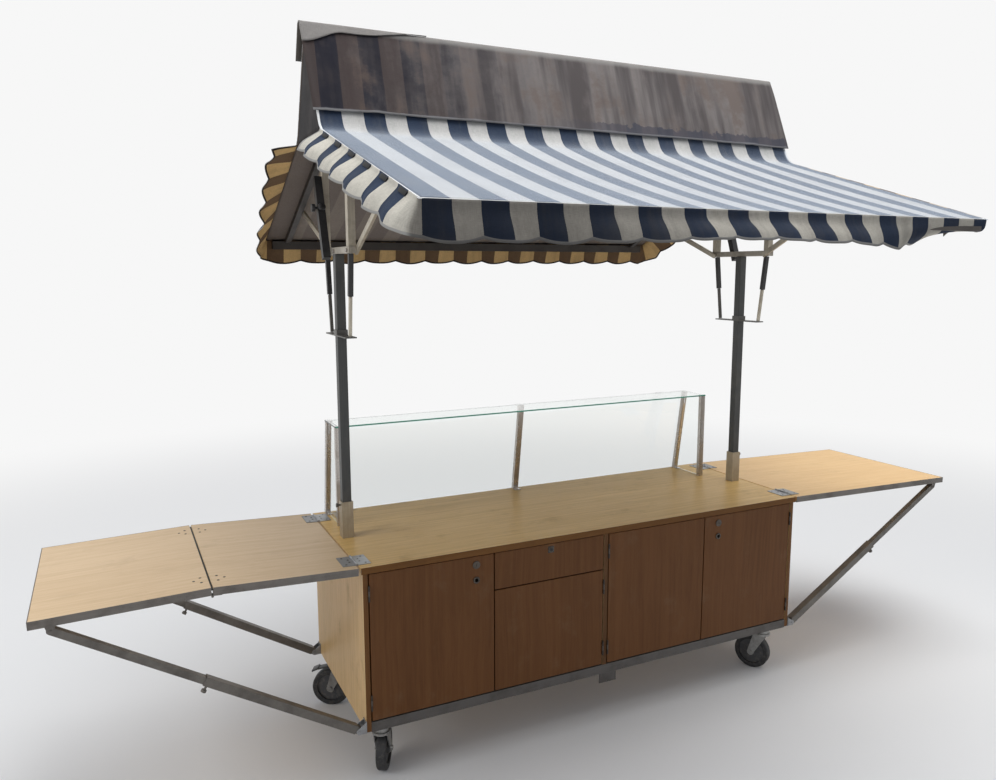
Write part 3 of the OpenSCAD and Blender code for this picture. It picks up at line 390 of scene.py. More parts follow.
# The door hinges are coloured near black as painted shade between the doors.
door_hinge_shaded = metal("door_hinge_painted_shade", (0.030, 0.018, 0.011), (0.020, 0.013, 0.009), (30, 30, 30),
                     0.1, 0.5, 0.5, 0.65)
dressed(lock_nickel_shaded, "door_1_fittings", "door_2_fittings", "door_3_fittings", "door_4_fittings", "drawer_lock")
dressed(door_hinge_shaded, "door_hinges")
to_seller = (0, -1, 0)
lock_inset, lock_drop, ring_drop = 0.072, 0.032, 0.091
door_low, door_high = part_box("door_1")
for body, lock_x in (("door_1", door_high.x - lock_inset), ("door_4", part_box("door_4")[0].x + lock_inset)):
    lock_place = Vector((lock_x, door_low.y, door_high.z - lock_drop))
    ring_place = Vector((lock_x, door_low.y, door_high.z - ring_drop))
    rings = bmesh.new()
    turned(rings, [(0.0120, 0.0028), (0.0120, 0.0036), (0.0126, 0.0042), (0.0134, 0.0042), (0.0140, 0.0036),
                   (0.0140, 0.0028)], lock_place, to_seller, 48)
    turned(rings, [(0.0048, 0.0028), (0.0048, 0.0038), (0.0053, 0.0043), (0.0064, 0.0043), (0.0069, 0.0038),
                   (0.0069, 0.0028)], lock_place, to_seller, 40)
    turned(rings, [(0.0100, 0.0038), (0.0103, 0.0049), (0.0112, 0.0053), (0.0126, 0.0045), (0.0130, 0.0038)],
           ring_place, to_seller, 48)
    new_piece(body + "_rosette_rings", rings, lock_nickel_shaded, body)
    # A black key slot and a black disc at the bottom of the finger hole: painted shade inside the holes.
    keyhole = bmesh.new()
    soft_box(keyhole, (0.0018, 0.0008, 0.0088), lock_place + Vector((0, -0.0032, 0)), 0.0003)
    turned(keyhole, [(0, 0.0006), (0.0070, 0.0006), (0.0074, 0.0), (0, 0.0)],
           ring_place + Vector((0, 0.0148, 0)), to_seller, 32)
    new_piece(body + "_keyhole", keyhole, hole_shade_black, body)
drawer_low, drawer_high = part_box("drawer_lock")
drawer_middle = Vector(((drawer_low.x + drawer_high.x) / 2, drawer_low.y, (drawer_low.z + drawer_high.z) / 2))
plate = bmesh.new()
soft_box(plate, (0.026, 0.0014, 0.026), drawer_middle + Vector((0, 0.0030, 0)), 0.0006)
turned(plate, [(0.0052, 0.0), (0.0052, 0.0012), (0.0058, 0.0017), (0.0070, 0.0017), (0.0076, 0.0012),
               (0.0076, 0.0)], drawer_middle + Vector((0, 0.0002, 0)), to_seller, 40)
new_piece("drawer_lock_plate", plate, lock_black, "drawer")
keyhole = bmesh.new()
turned(keyhole, [(0, 0.0004), (0.0046, 0.0004), (0.0050, 0.0), (0, 0.0)], drawer_middle, to_seller, 24)
new_piece("drawer_keyhole", keyhole, hole_shade_black, "drawer")


# Base frame: mill-finish aluminium tube, welded, under the whole cabinet, with the casters' plates on its
# end rails; its colour is set dark as painted shade. The strut brackets at the corners are bent steel,
# galvanised, and carry the feet of the struts.
# The aluminium is coloured dark as painted shade.
mill_aluminium_shaded = metal("mill_aluminium_shaded", (0.105, 0.097, 0.090), (0.050, 0.044, 0.039), (1, 70, 70),
                       0.4, 0.55, 0.42, 0.62)
galvanised = metal("galvanised_plate", (0.34, 0.345, 0.35), (0.15, 0.15, 0.155), (14, 14, 14),
                   0.7, 0.6, 0.38, 0.6)
eased("base_frame", mill_aluminium_shaded, 0.0020)
dressed(galvanised, "strut_brackets")


# Casters: four swivel casters with galvanised forks and black rubber tyres on grey hubs.
# Each is bolted through its plate, and its black brake pedal stands out over the wheel.
fork_steel = metal("fork_steel", (0.36, 0.36, 0.35), (0.13, 0.12, 0.11), (14, 14, 14), 0.75, 0.7, 0.36, 0.62)
black_coat = metal("black_powder_coat", (0.012, 0.012, 0.013), (0.045, 0.043, 0.042), (20, 20, 20),
                   0.1, 0.5, 0.42, 0.62, 0.0003)
dressed(fork_steel, *[name for name in nodes if name.endswith("_fork")])
hub_radius = 0.0592


def wheel(name, middle):
    """A painted hub round the wheel's middle, and dusty rubber outside it."""
    material, tree, shader = new_material(name)
    coords = add(tree, "TexCoord").outputs["Object"]
    centred = add(tree, "Mapping", {"Vector": coords, "Location": [-v for v in middle]}).outputs[0]
    radius = add(tree, "VectorMath", {0: centred}, operation="LENGTH").outputs["Value"]
    tyre = ranged(tree, radius, hub_radius - 0.0006, hub_radius + 0.0006, smooth=False)
    dust = ranged(tree, even_noise(tree, coords, 60.0, 6.0, 0.7), 0.46, 0.72)
    rubber = mix(tree, dust, (0.016, 0.016, 0.017), (0.075, 0.070, 0.064))
    hub = mix(tree, dust, (0.060, 0.060, 0.062), (0.13, 0.12, 0.11))
    fill(tree, shader, {
        "Base Color": mix(tree, tyre, hub, rubber),
        "Roughness": ranged(tree, maths(tree, "ADD", dust, tyre), 0.0, 2.0, 0.40, 0.80),
        "Normal": bumped(tree, 0.4, 0.0006, even_noise(tree, coords, 420.0, 2.0))})
    return material


for corner, trailing in (("front_left", 62), ("front_right", 118), ("rear_left", 152), ("rear_right", 215)):
    low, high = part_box(corner + "_wheel")
    wheel_middle = (low + high) / 2
    dressed(wheel("rubber_" + corner, wheel_middle), corner + "_wheel")
    turn = math.radians(trailing)
    trail = Vector((math.cos(turn), math.sin(turn), 0))
    pedal = bmesh.new()
    for size, reach, rise, tilt in (((0.050, 0.036, 0.005), 0.030, 0.0885, 14),
                                    ((0.030, 0.044, 0.006), 0.066, 0.0800, 24)):
        soft_box(pedal, size, wheel_middle + trail * reach + Vector((0, 0, rise)), 0.002,
                 Matrix.Rotation(turn, 4, "Z") @ Matrix.Rotation(math.radians(tilt), 4, "Y"))
    new_piece(corner + "_brake_pedal", pedal, black_coat, corner + "_fork")


# Leaves: a short and a long board at the left end and one board at the right, edged with aluminium channel.
# They turn on steel strap hinges, whose plates are screwed to the worktop and the leaf; a black strip under the
# left seam is painted shade in the gap.
leaf_wood = board("leaf_beech", (0.67, 0.50, 0.315), (0.55, 0.39, 0.225), 0.75, 0.16, shift=(0.7, 0.3, 0))
# The right board is a lighter, yellower copy of the same beech, as painted light on the right leaf.
right_leaf_wood_lit = board("leaf_beech_right_lit", (0.78, 0.52, 0.245), (0.65, 0.405, 0.17), 0.75, 0.14,
                        shift=(1.9, 0.8, 0))
# The edge channel is coloured dark as painted shade on its side faces.
edge_aluminium_shaded = metal("edge_channel_shaded", (0.165, 0.150, 0.135), (0.065, 0.056, 0.048), (1, 70, 70),
                       0.45, 0.6, 0.42, 0.62)
dark_screw = metal("dark_screw", (0.085, 0.072, 0.060), (0.040, 0.032, 0.026), (30, 30, 30),
                   0.6, 0.5, 0.42, 0.6)
eased("left_inner_leaf", leaf_wood, 0.0010, body="left_leaf")
eased("left_outer_leaf", leaf_wood, 0.0010, body="left_leaf")
eased("right_leaf", right_leaf_wood_lit, 0.0010, body="right_leaf")
dressed(galvanised, "worktop_hinges")


def coloured_so_far(material):
    """A material's tree, its shader and the colour that it has so far."""
    shader = material.node_tree.nodes["Principled BSDF"]
    return material.node_tree, shader, shader.inputs["Base Color"].links[0].from_socket


def painted_in(material, zones, paint, metallic=0.15):
    """Paints a metal piece inside zones; each bounds X (mirrored), Y and Z, with None where it is open."""
    tree, shader, bare_colour = coloured_so_far(material)
    place = on_axes(tree, "Object")
    places = (maths(tree, "ABSOLUTE", place["X"]), place["Y"], place["Z"])
    mask = 0.0
    for zone in zones:
        inside = 1.0
        for value, bounds in zip(places, zone):
            if bounds:
                from_low = ranged(tree, value, bounds[0] - 0.0005, bounds[0] + 0.0005, smooth=False)
                to_high = ranged(tree, value, bounds[1] - 0.0005, bounds[1] + 0.0005, 1.0, 0.0, False)
                inside = times(tree, inside, times(tree, from_low, to_high))
        mask = maths(tree, "MAXIMUM", mask, inside)
    bare = shader.inputs["Metallic"].default_value
    fill(tree, shader, {
        "Base Color": mix(tree, mask, bare_colour, mix(tree, 0.15, paint, bare_colour)),
        "Metallic": maths(tree, "MULTIPLY_ADD", mask, metallic - bare, bare)})
    return material


def upper_face(node):
    """The middle and the upward direction of a board's upper face."""
    face = max((face for face in nodes[node].data.polygons if face.normal.z > 0.9), key=lambda face: face.area)
    return face.center.copy(), face.normal.copy()


def on_face(face, x, y, rise):
    """The point of a board's upper face over x and y, raised by rise."""
    middle, up = face
    return Vector((x, y, middle.z - ((x - middle.x) * up.x + (y - middle.y) * up.y) / up.z)) + up * rise


def screw_heads(name, places, axis, radius, body):
    """Raised countersunk screws, set in a row of places."""
    outline = [(0, 0.0016), (radius * 0.22, 0.0010), (radius * 0.55, 0.0013), (radius, 0.0002),
               (radius, -0.0006), (0, -0.0006)]
    shape = bmesh.new()
    for place in places:
        turned(shape, outline, place, axis, 16)
    new_piece(name, shape, dark_screw, body)


hinge_low, hinge_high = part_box("worktop_hinges")
hinge_x, plate_half = top_high.x + 0.004, 0.0485
plate_x = (top_high.x - 0.03, top_high.x + 0.056)
plate_screws = ((0.035, -0.034), (0.035, 0.034), (0.018, -0.012), (0.018, 0.012))
hinges = (("_front", hinge_low.y + 0.048), ("_rear", hinge_high.y - 0.048))
for side, name, leaf in ((-1, "left", "left_inner_leaf"), (1, "right", "right_leaf")):
    face = upper_face(leaf)
    for end, hinge_y in hinges:
        spots = [(reach, hinge_y + across) for reach, across in plate_screws]
        on_top = [(side * (hinge_x - reach), y, hinge_low.z + 0.0026) for reach, y in spots]
        on_leaf = [on_face(face, side * (hinge_x + reach), y, 0.0025) for reach, y in spots]
        screw_heads(name + end + "_counter_screws", on_top, (0, 0, 1), 0.0042, "counter")
        screw_heads(name + end + "_leaf_screws", on_leaf, face[1], 0.0042, name + "_leaf")
plates = [(plate_x, (hinge_y - plate_half, hinge_y + plate_half), None) for end, hinge_y in hinges]
dressed(painted_in(edge_aluminium_shaded, plates, (0.26, 0.265, 0.27), 0.6),
        "left_inner_trim", "left_outer_trim", "right_leaf_trim")
seam_low, seam_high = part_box("left_inner_leaf")
seam_x = (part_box("left_outer_leaf")[1].x + seam_low.x) / 2
for leaf, away in (("left_outer_leaf", -1), ("left_inner_leaf", 1)):
    face = upper_face(leaf)
    places = [on_face(face, seam_x + away * reach, middle_y + end + across, 0.0001) for end in (-0.275, 0.275)
              for reach, across in ((0.026, -0.022), (0.026, 0.022), (0.048, 0.0))]
    screw_heads(leaf + "_seam_screws", places, face[1], 0.0046, "left_leaf")
# A black strip under the seam is painted shade in the gap between the leaf boards.
seam_shade_strip = bmesh.new()
soft_box(seam_shade_strip, (0.0075, seam_high.y - seam_low.y - 0.002, 0.005),
         on_face(face, seam_x, middle_y, -0.008), 0.0008)
new_piece("seam_shade_strip", seam_shade_strip, hole_shade_black, "left_leaf")


# Struts: square aluminium tubes that slide in each other and are clamped by a thumb screw under the joint.
# The lower tube turns on the cabinet's bottom corner, the upper one hooks over a pin under the leaf.
# The tube is coloured dark as painted shade.
strut_aluminium_shaded = metal("strut_tube_shaded", (0.150, 0.137, 0.121), (0.062, 0.055, 0.048), (8, 60, 8),
                        0.4, 0.6, 0.44, 0.64)
for corner in ("left_front", "left_rear", "right_front", "right_rear"):
    for part in ("upper", "lower"):
        eased(corner + "_strut_" + part, strut_aluminium_shaded, 0.0012, body=corner + "_strut_" + part)


# Posts: dark painted square steel tubes that stand in aluminium sockets on the worktop, held by a thumb
# screw. The paint is worn to a grey sheen; the sockets are screwed down and coloured warm beige as a painted
# reflection of the wooden worktop, and their outer faces are near black.
post_paint = metal("post_paint", (0.045, 0.047, 0.047), (0.085, 0.084, 0.078), (60, 60, 1),
                   0.35, 0.8, 0.42, 0.6)
# The sockets' warm beige is a painted reflection of the worktop; their outer faces are coloured near black.
socket_tube_worktop_reflection = metal("socket_tube_worktop_reflection", (0.40, 0.345, 0.255), (0.20, 0.16, 0.105), (60, 60, 1),
                    0.5, 0.5, 0.40, 0.58)
socket_outside = (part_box("post_sockets")[1].x - 0.0165, 9)
eased("posts", post_paint, 0.0025, 3)
eased("post_sockets", painted_in(socket_tube_worktop_reflection, [(socket_outside, None, None)], (0.014, 0.014, 0.014)), 0.0012)


# Head: crossarms, uprights and slanting struts of aluminium, bolted to the post, and steel levers with black
# coating. The knee braces are black tubes above and bare rods below, down to the lower crossbar.
# The struts' aluminium is set lighter than the crossarms' as painted light.
head_aluminium_lit = metal("head_tube_lit", (0.52, 0.475, 0.39), (0.27, 0.24, 0.19), (40, 40, 2),
                       0.6, 0.6, 0.42, 0.62)
arm_aluminium = metal("crossarm_tube", (0.42, 0.385, 0.33), (0.20, 0.18, 0.145), (40, 40, 2),
                      0.6, 0.6, 0.42, 0.62)
plated = metal("nickel_plate", (0.36, 0.335, 0.31), (0.15, 0.13, 0.11), (30, 30, 30), 0.85, 0.5, 0.30, 0.5)
arm_low, arm_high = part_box("crossarms")
lower_arms = (None, None, (0, arm_low.z + 0.1))
rear_struts = (None, (middle_y, 9), (0, arm_high.z - 0.03))
eased("crossarms", painted_in(arm_aluminium, [lower_arms], (0.055, 0.056, 0.054)), 0.0015)
eased("head_struts", painted_in(head_aluminium_lit, [rear_struts], (0.010, 0.010, 0.011)), 0.0015)
dressed(black_coat, "black_levers")
arm_side, knob_x, knob_y, knob_z = 0.9775, 0.9915, middle_y + 0.1190, 2.0985
knob = [(0, 0.017), (0.0100, 0.0165), (0.0138, 0.0140), (0.0150, 0.0100), (0.0138, 0.0060), (0.0060, 0.0040),
        (0.0060, -0.002), (0, -0.002)]
bolt_head = [(0, 0.0045), (0.0055, 0.0045), (0.0065, 0.0035), (0.0065, 0.0), (0, 0.0)]
knobs, bolts = bmesh.new(), bmesh.new()
for side in (-1, 1):
    turned(knobs, knob, (side * knob_x, knob_y, knob_z), (0, -0.95, 0.32), 36)
    for across in (0.010, -0.166, 0.166):
        turned(bolts, bolt_head, (side * arm_side, middle_y + across, arm_high.z - 0.0135), (side, 0, 0), 6)
new_piece("lever_knobs", knobs, black_coat, "counter")
new_piece("head_bolts", bolts, plated, "counter")


# Roof frame: ridge, kink and eave rails of aluminium tube between two bent rafters. All of it hides under
# the canvas, but for the rear eave rail and the left rafter, which the photo shows dark from below; the tube is
# coloured dark as painted shade under the roof.
rail_aluminium_shaded = metal("rail_tube_shaded", (0.045, 0.038, 0.033), (0.028, 0.023, 0.020), (2, 40, 40),
                       0.3, 0.6, 0.45, 0.65)
eased("roof_rails", rail_aluminium_shaded)
eased("rafters", rail_aluminium_shaded)


# Canvas: acrylic awning cloth in navy and natural stripes, cut as one length over eave, kink, ridge, kink
# and eave. It is sewn with white binding at its edges, drawn tight over the rails, and hangs a little
# between the rafters.
stripe_pair = 0.157
canvas_weave, given, result = new_group("canvas_weave", Vector="Vector", Place="Vector", Hem="Float",
                                        Navy="Color", Natural="Color", Binding="Color",
                                        Soiling="Float", Grime="Color")
tree, vector = canvas_weave, given["Vector"]
fray = maths(tree, "SUBTRACT", even_noise(tree, vector, 260.0, 1.0), 0.5)
across = maths(tree, "MULTIPLY_ADD", fray, 0.0012, add(tree, "SeparateXYZ", {0: vector}).outputs["X"])
turn = maths(tree, "FRACT", maths(tree, "ADD", maths(tree, "DIVIDE", across, stripe_pair), 20.0))
colour = mix(tree, maths(tree, "LESS_THAN", turn, 0.5), given["Natural"], given["Navy"])
mottle = even_noise(tree, given["Place"], 7.0, 6.0, 0.62)
runs = stretched_noise(tree, vector, (34, 2.6, 1), 4.0, 0.6)
threads = maths(tree, "ADD", stretched_noise(tree, vector, (900, 50, 1), 1.0, 0.5),
                stretched_noise(tree, vector, (50, 900, 1), 1.0, 0.5))
shade = ranged(tree, threads, 0.75, 1.25, 0.86, 1.12, False)
shade = add(tree, "CombineColor", {0: shade, 1: shade, 2: shade}).outputs[0]
colour = mix(tree, 1.0, colour, shade, "MULTIPLY")
soil = ranged(tree, maths(tree, "MULTIPLY_ADD", mottle, 0.6, times(tree, runs, 0.4)), 0.44, 0.66)
soil = times(tree, soil, given["Soiling"])
bound = ranged(tree, given["Hem"], 0.0072, 0.0080, 1.0, 0.0, False)
stitched = maths(tree, "ABSOLUTE", maths(tree, "SUBTRACT", given["Hem"], 0.0058))
stitched = ranged(tree, stitched, 0.0, 0.0012, 1.0, 0.0)
fill(tree, result, {
    "Color": mix(tree, bound, mix(tree, soil, colour, given["Grime"]), given["Binding"]),
    "Roughness": ranged(tree, soil, 0, 1, 0.78, 0.92),
    "Height": maths(tree, "SUBTRACT", maths(tree, "MULTIPLY_ADD", bound, 0.8, threads), stitched)})


def canvas(name, navy, natural, binding, soiling, grime, sheen=0.02):
    """Striped awning cloth seen from one of its sides."""
    material, tree, shader = new_material(name)
    coords = add(tree, "TexCoord").outputs
    values = {"Vector": coords["UV"], "Place": coords["Object"],
              "Hem": add(tree, "Attribute", attribute_name="hem").outputs["Fac"],
              "Navy": navy, "Natural": natural, "Binding": binding, "Grime": grime, "Soiling": soiling}
    weave = add(tree, "Group", values, node_tree=canvas_weave).outputs
    # The sheen's blue tint is a painted reflection of the sky.
    fill(tree, shader, {
        "Base Color": weave["Color"], "Roughness": weave["Roughness"], "Specular IOR Level": 0.10,
        "Sheen Weight": sheen, "Sheen Roughness": 0.4, "Sheen Tint": (0.80, 0.89, 1.0),
        "Normal": bumped(tree, 0.5, 0.0007, weave["Height"])})
    return material


def sheet_piece(name, across, along, steps, place, pattern, hem, outer, inner, thick=0.0025,
                outwards=True):
    """A sheet of cloth: a grid laid out by place(u, v), with its pattern in metres and its hem distance."""
    shape = bmesh.new()
    bmesh.ops.create_grid(shape, x_segments=steps[0], y_segments=steps[1], size=1, calc_uvs=True)
    uv = shape.loops.layers.uv.verify()
    hem_layer = shape.verts.layers.float.new("hem")
    spots = {}
    for vert in shape.verts:
        u = across[0] + (across[1] - across[0]) * (vert.co.x + 1) / 2
        v = along[0] + (along[1] - along[0]) * (vert.co.y + 1) / 2
        spots[vert] = (u, v)
        vert.co = place(u, v)
        vert[hem_layer] = hem(u, v)
    for face in shape.faces:
        face.smooth = True
        for loop in face.loops:
            loop[uv].uv = pattern(*spots[loop.vert])
    if not outwards:
        bmesh.ops.reverse_faces(shape, faces=shape.faces)
    piece = finished(from_bmesh(name, shape), outer, "counter")
    piece.data.materials.append(inner)
    wall = piece.modifiers.new("cloth_thickness", "SOLIDIFY")
    wall.thickness = thick
    wall.offset = -1
    wall.material_offset = 1
    wall.material_offset_rim = 0
    return piece


def rounded_line(points, reaches):
    """A line through points with its corners eased; gives the place at a distance along it, and the length."""
    points = [Vector(point) for point in points]
    run = points[:1]
    for before, corner, after, reach in zip(points, points[1:], points[2:], reaches):
        start = corner + (before - corner).normalized() * reach
        end = corner + (after - corner).normalized() * reach
        run += [start.lerp(corner, t / 8).lerp(corner.lerp(end, t / 8), t / 8) for t in range(9)]
    run.append(points[-1])
    marks = [0]
    for a, b in zip(run, run[1:]):
        marks.append(marks[-1] + (b - a).length)

    def at(distance):
        distance = min(max(distance, 0), marks[-1])
        index = max(i for i, mark in enumerate(marks[:-1]) if mark <= distance + 1e-9)
        return run[index].lerp(run[index + 1],
                               (distance - marks[index]) / max(marks[index + 1] - marks[index], 1e-9))
    return at, marks[-1]


half_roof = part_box("canopy_front")[1].x
front_y, front_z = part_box("canopy_front")[0].y - middle_y, 2.036
rear_y, rear_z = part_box("canopy_rear")[1].y - middle_y, 2.004
kink_y, kink_z, ridge_z = 0.172, 2.340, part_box("canopy_front")[1].z
rafter_x = 0.963
stripe_start = 1.0545
canvas_at, canvas_length = rounded_line([(front_y, front_z), (-kink_y, kink_z), (0, ridge_z), (kink_y, kink_z),
                                         (rear_y, rear_z)], [0.036, 0.010, 0.036])
front_run = (Vector((front_y, front_z)) - Vector((-kink_y, kink_z))).length
rear_run = (Vector((rear_y, rear_z)) - Vector((kink_y, kink_z))).length


def canvas_place(x, along):
    """A point of the roof canvas: the line over the rails, and the cloth's hang between the rafters."""
    y, z = canvas_at(along)
    between = max(0.0, 1 - (x / rafter_x) ** 2)
    hang = 0.0
    for start, run, depth in ((0, front_run, 0.016), (canvas_length - rear_run, rear_run, 0.014)):
        t = (along - start) / run
        if 0 < t < 1:
            arch = math.sin(math.pi * t)
            hang += depth * between ** 0.7 * arch ** 0.8
            hang += 0.0016 * arch * (1 + noise.noise(Vector((x * 5.0, along * 1.4, 3.1))))
            hang += 0.0022 * arch * abs(noise.noise(Vector((x * 2.2 + along * 1.8, along * 3.0 - x, 8.4))))
    return Vector((x, middle_y + y, z - hang))


def canvas_hem(x, along):
    """Distance to the canopy's nearest bound edge."""
    return min(half_roof - abs(x), along, canvas_length - along)


# The outside's full sheen, tinted blue, is a painted reflection of the sky on the slopes.
canvas_top = canvas("canvas_outside", (0.015, 0.027, 0.055), (0.47, 0.46, 0.435), (0.78, 0.78, 0.76), 0.25,
                    (0.15, 0.14, 0.125), 1.0)
# The underside is a dim brown-grey with faint stripes: painted shade under the roof.
canvas_under_shaded = canvas("canvas_underside_shaded", (0.165, 0.140, 0.125), (0.215, 0.185, 0.160), (0.12, 0.10, 0.09), 0.3,
                      (0.13, 0.11, 0.095), 0.0)
canopy = sheet_piece("canopy", (-half_roof, half_roof), (0, canvas_length), (118, 124), canvas_place,
                     lambda x, along: (x + stripe_start, along), canvas_hem, canvas_top, canvas_under_shaded)
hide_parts("canopy_front", "canopy_rear")


# Skirts: a scalloped valance sewn along the roof's edge, in one strip from kink to kink round two corners,
# front and rear. Each flares out from the edge and droops at its bound hem; at the front right the wind has
# curled it under.
skirt_h, scallop_h = 0.112, 0.016


def ease(low, high, value):
    """0 below low, 1 above high, and an easy rise between."""
    t = min(1, max(0, (value - low) / (high - low)))
    return t * t * (3 - 2 * t)


def skirt_line(reach_y, eave_z, facing):
    """The top edge of a skirt: down the left slope edge, along the eave and up the right slope edge."""
    gap, corner = 0.006, 0.012
    slope = Vector((0, reach_y - facing * kink_y, eave_z - kink_z))
    start_y, start_z = facing * (kink_y + gap), kink_z - gap * abs(slope.z / slope.y)
    points = [(-half_roof, start_y, start_z), (-half_roof, reach_y, eave_z), (half_roof, reach_y, eave_z),
              (half_roof, start_y, start_z)]
    return rounded_line(points, [corner, corner]), slope.normalized()


def skirt_frame(along, total, slope, facing):
    """The outward and downward directions along a skirt, and how far it faces the front or rear."""
    side = (total - 2 * half_roof) / 2
    to_front = ease(side - 0.022, side + 0.016, along) - ease(total - side - 0.016, total - side + 0.022, along)
    sign = -1 if along < total / 2 else 1
    outward = Vector((sign * (1 - to_front), facing * to_front, 0)).normalized()
    fall = Vector((0, slope.z * facing, -abs(slope.y)))
    downward = (fall * (1 - to_front) + Vector((0, 0, -1)) * to_front).normalized()
    return outward, downward, to_front


def hem_depth(pattern_u):
    """Depth of the scalloped hem at a distance along the stripes; each pair of stripes has one scallop."""
    return skirt_h - scallop_h * (1 - abs(math.sin(math.pi * pattern_u / stripe_pair)))


def skirt_piece(name, reach_y, eave_z, facing, angles, curl, outer, inner):
    """A valance strip; angles are its flare in degrees, upper and lower, at a gable and at the eave."""
    (line, total), slope = skirt_line(reach_y, eave_z, facing)
    side = (total - 2 * half_roof) / 2
    phase = stripe_start - half_roof - side

    def flare(along, to_front):
        """The angles of the upper and lower part: wide near a rear kink, narrow at the front left."""
        flared = [math.radians(gable * (1 - to_front) + eave * to_front)
                  for gable, eave in zip(angles, angles[2:])]
        if facing > 0:
            down_slope = min(1.0, min(along, total - along) / side)
            wide = (84 - 50 * down_slope, 76 - 60 * down_slope)
            return [angle * to_front + math.radians(at_kink) * (1 - to_front)
                    for angle, at_kink in zip(flared, wide)]
        at_left = to_front * (1 - ease(-0.95, 0.10, along - side - half_roof))
        return [angle * (1 - 0.62 * at_left) for angle in flared]

    def place(along, down):
        outward, downward, to_front = skirt_frame(along, total, slope, facing)
        depth = hem_depth(along + phase) * down
        upper, lower = flare(along, to_front)
        scallop = math.sin(math.pi * (along + phase) / stripe_pair) ** 2
        ripple = noise.noise(Vector((along * 5.5, facing * 3.0, 1.7)))
        wave = math.radians(10) * (scallop - 0.5) + math.radians(14) * ripple
        x_here = along - side - half_roof
        curled = curl * ease(0.40, 1.02, x_here) * (1 - ease(half_roof - 0.01, half_roof + 0.24, x_here))
        point = line(along).copy()
        pieces = 14
        for step in range(pieces):
            s = (step + 0.5) / pieces * depth
            bend = ease(0.004 * to_front, 0.014 + 0.031 * to_front, s)
            droop = ease(0.055, 0.105, s)
            angle = (upper * (1 - droop) + lower * droop + wave) * bend
            angle = angle * (1 - curled) - math.radians(118 + 20 * ripple) * ease(0.012, 0.075, s) * curled
            point += (outward * math.sin(angle) + downward * math.cos(angle)) * depth / pieces
        return Vector((point.x, middle_y + point.y, point.z))

    piece = sheet_piece(name, (0, total), (1.0, 0.0), (int(total / 0.0065), 16), place,
                        lambda along, down: (along + phase, down * skirt_h),
                        lambda along, down: min(hem_depth(along + phase) * (1 - down), along, total - along),
                        outer, inner, outwards=facing < 0)
    return piece, place, total


# Painted shade darkens the skirt's outside along the front eave, most at its left; its white binding is set
# grey as painted shade.
skirt_outside = canvas("skirt_outside", (0.022, 0.034, 0.062), (0.52, 0.495, 0.43), (0.30, 0.295, 0.28), 0.30,
                       (0.10, 0.092, 0.082))
tree, shader, clean_cloth = coloured_so_far(skirt_outside)
spot = on_axes(tree, "Object")
eave_y = middle_y + front_y
# Painted shade: darker towards the left along the front eave.
painted_shade_mask = times(tree, ranged(tree, spot["X"], -0.85, 0.15, 0.80, 0.42),
                ranged(tree, spot["Y"], eave_y + 0.004, eave_y + 0.020, 1.0, 0.0))
shaded_cloth = mix(tree, 1.0, clean_cloth, (0.22, 0.21, 0.21), "MULTIPLY")
fill(tree, shader, {"Base Color": mix(tree, painted_shade_mask, clean_cloth, shaded_cloth)})
# The inside's amber and brown stripes are painted light: the glow of light shining through the cloth.
skirt_inside_glow = canvas("skirt_inside_glow", (0.150, 0.095, 0.055), (0.62, 0.42, 0.19), (0.035, 0.028, 0.024), 0.35,
                      (0.20, 0.13, 0.07), 0.0)
front_skirt, front_place, front_total = skirt_piece("front_skirt", front_y, front_z, -1, (50, 16, 44, 22), 1.0,
                                                    skirt_outside, skirt_inside_glow)
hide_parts("front_valance", "gable_valances")
rear_skirt, rear_place, rear_total = skirt_piece("rear_skirt", rear_y, rear_z, 1, (58, 34, 14, 6), 0.0,
                                                 skirt_outside, skirt_inside_glow)
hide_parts("rear_valance", "gable_valances")


# Ridge cover: an older, weathered length of the same striped cloth, laid over the ridge and drawn down at
# the front. Rain has run grey down it, and its rear edge is short.
cover_low, cover_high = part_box("ridge_cover")
cover_half = cover_high.x
cover_at, cover_length = rounded_line([(cover_low.y - middle_y, cover_low.z + 0.001),
                                       (-0.010, ridge_z + 0.0075), (0.010, ridge_z + 0.0075),
                                       (cover_high.y - middle_y, ridge_z - 0.112)], [0.008, 0.008])
creases = ((-0.99, 0.32, 0.0035), (-0.52, -0.25, 0.0025), (-0.11, 0.18, 0.002), (0.58, -0.30, 0.0035),
           (0.93, 0.42, 0.004))


def cover_place(x, along):
    """A point of the ridge cover: the line over the ridge, slack folds, creases and a wavering front hem."""
    y, z = cover_at(along)
    lift = 0.5 + 0.5 * noise.noise(Vector((x * 2.3, along * 2.0, 5.5)))
    front = max(0.0, 1 - along / 0.30)
    fold = 0.0
    if along < 0.30:
        fold = math.exp(-((x + 0.86 - 0.55 * along) / 0.022) ** 2) * ease(0.30, 0.10, along)
    if along < 0.31:
        for crease_x, lean, depth in creases:
            ridge = math.exp(-((x - crease_x - lean * (along - 0.15)) / 0.016) ** 2)
            fold += depth / 0.004 * ridge * ease(0.31, 0.20, along)
    puff = 0.0015 + 0.003 * lift * (1 - ease(0.25, 0.33, along)) + 0.004 * fold
    out = -1 if y < 0 else 1
    sway = 0.0035 * front * noise.noise(Vector((x * 3.4, 2.0, 0.4))) - 0.005 * front * ease(0.8, 1.08, abs(x))
    return Vector((x * (1 - 0.006 * front), middle_y + y + out * puff * 0.92, z + puff * 0.3 + sway))


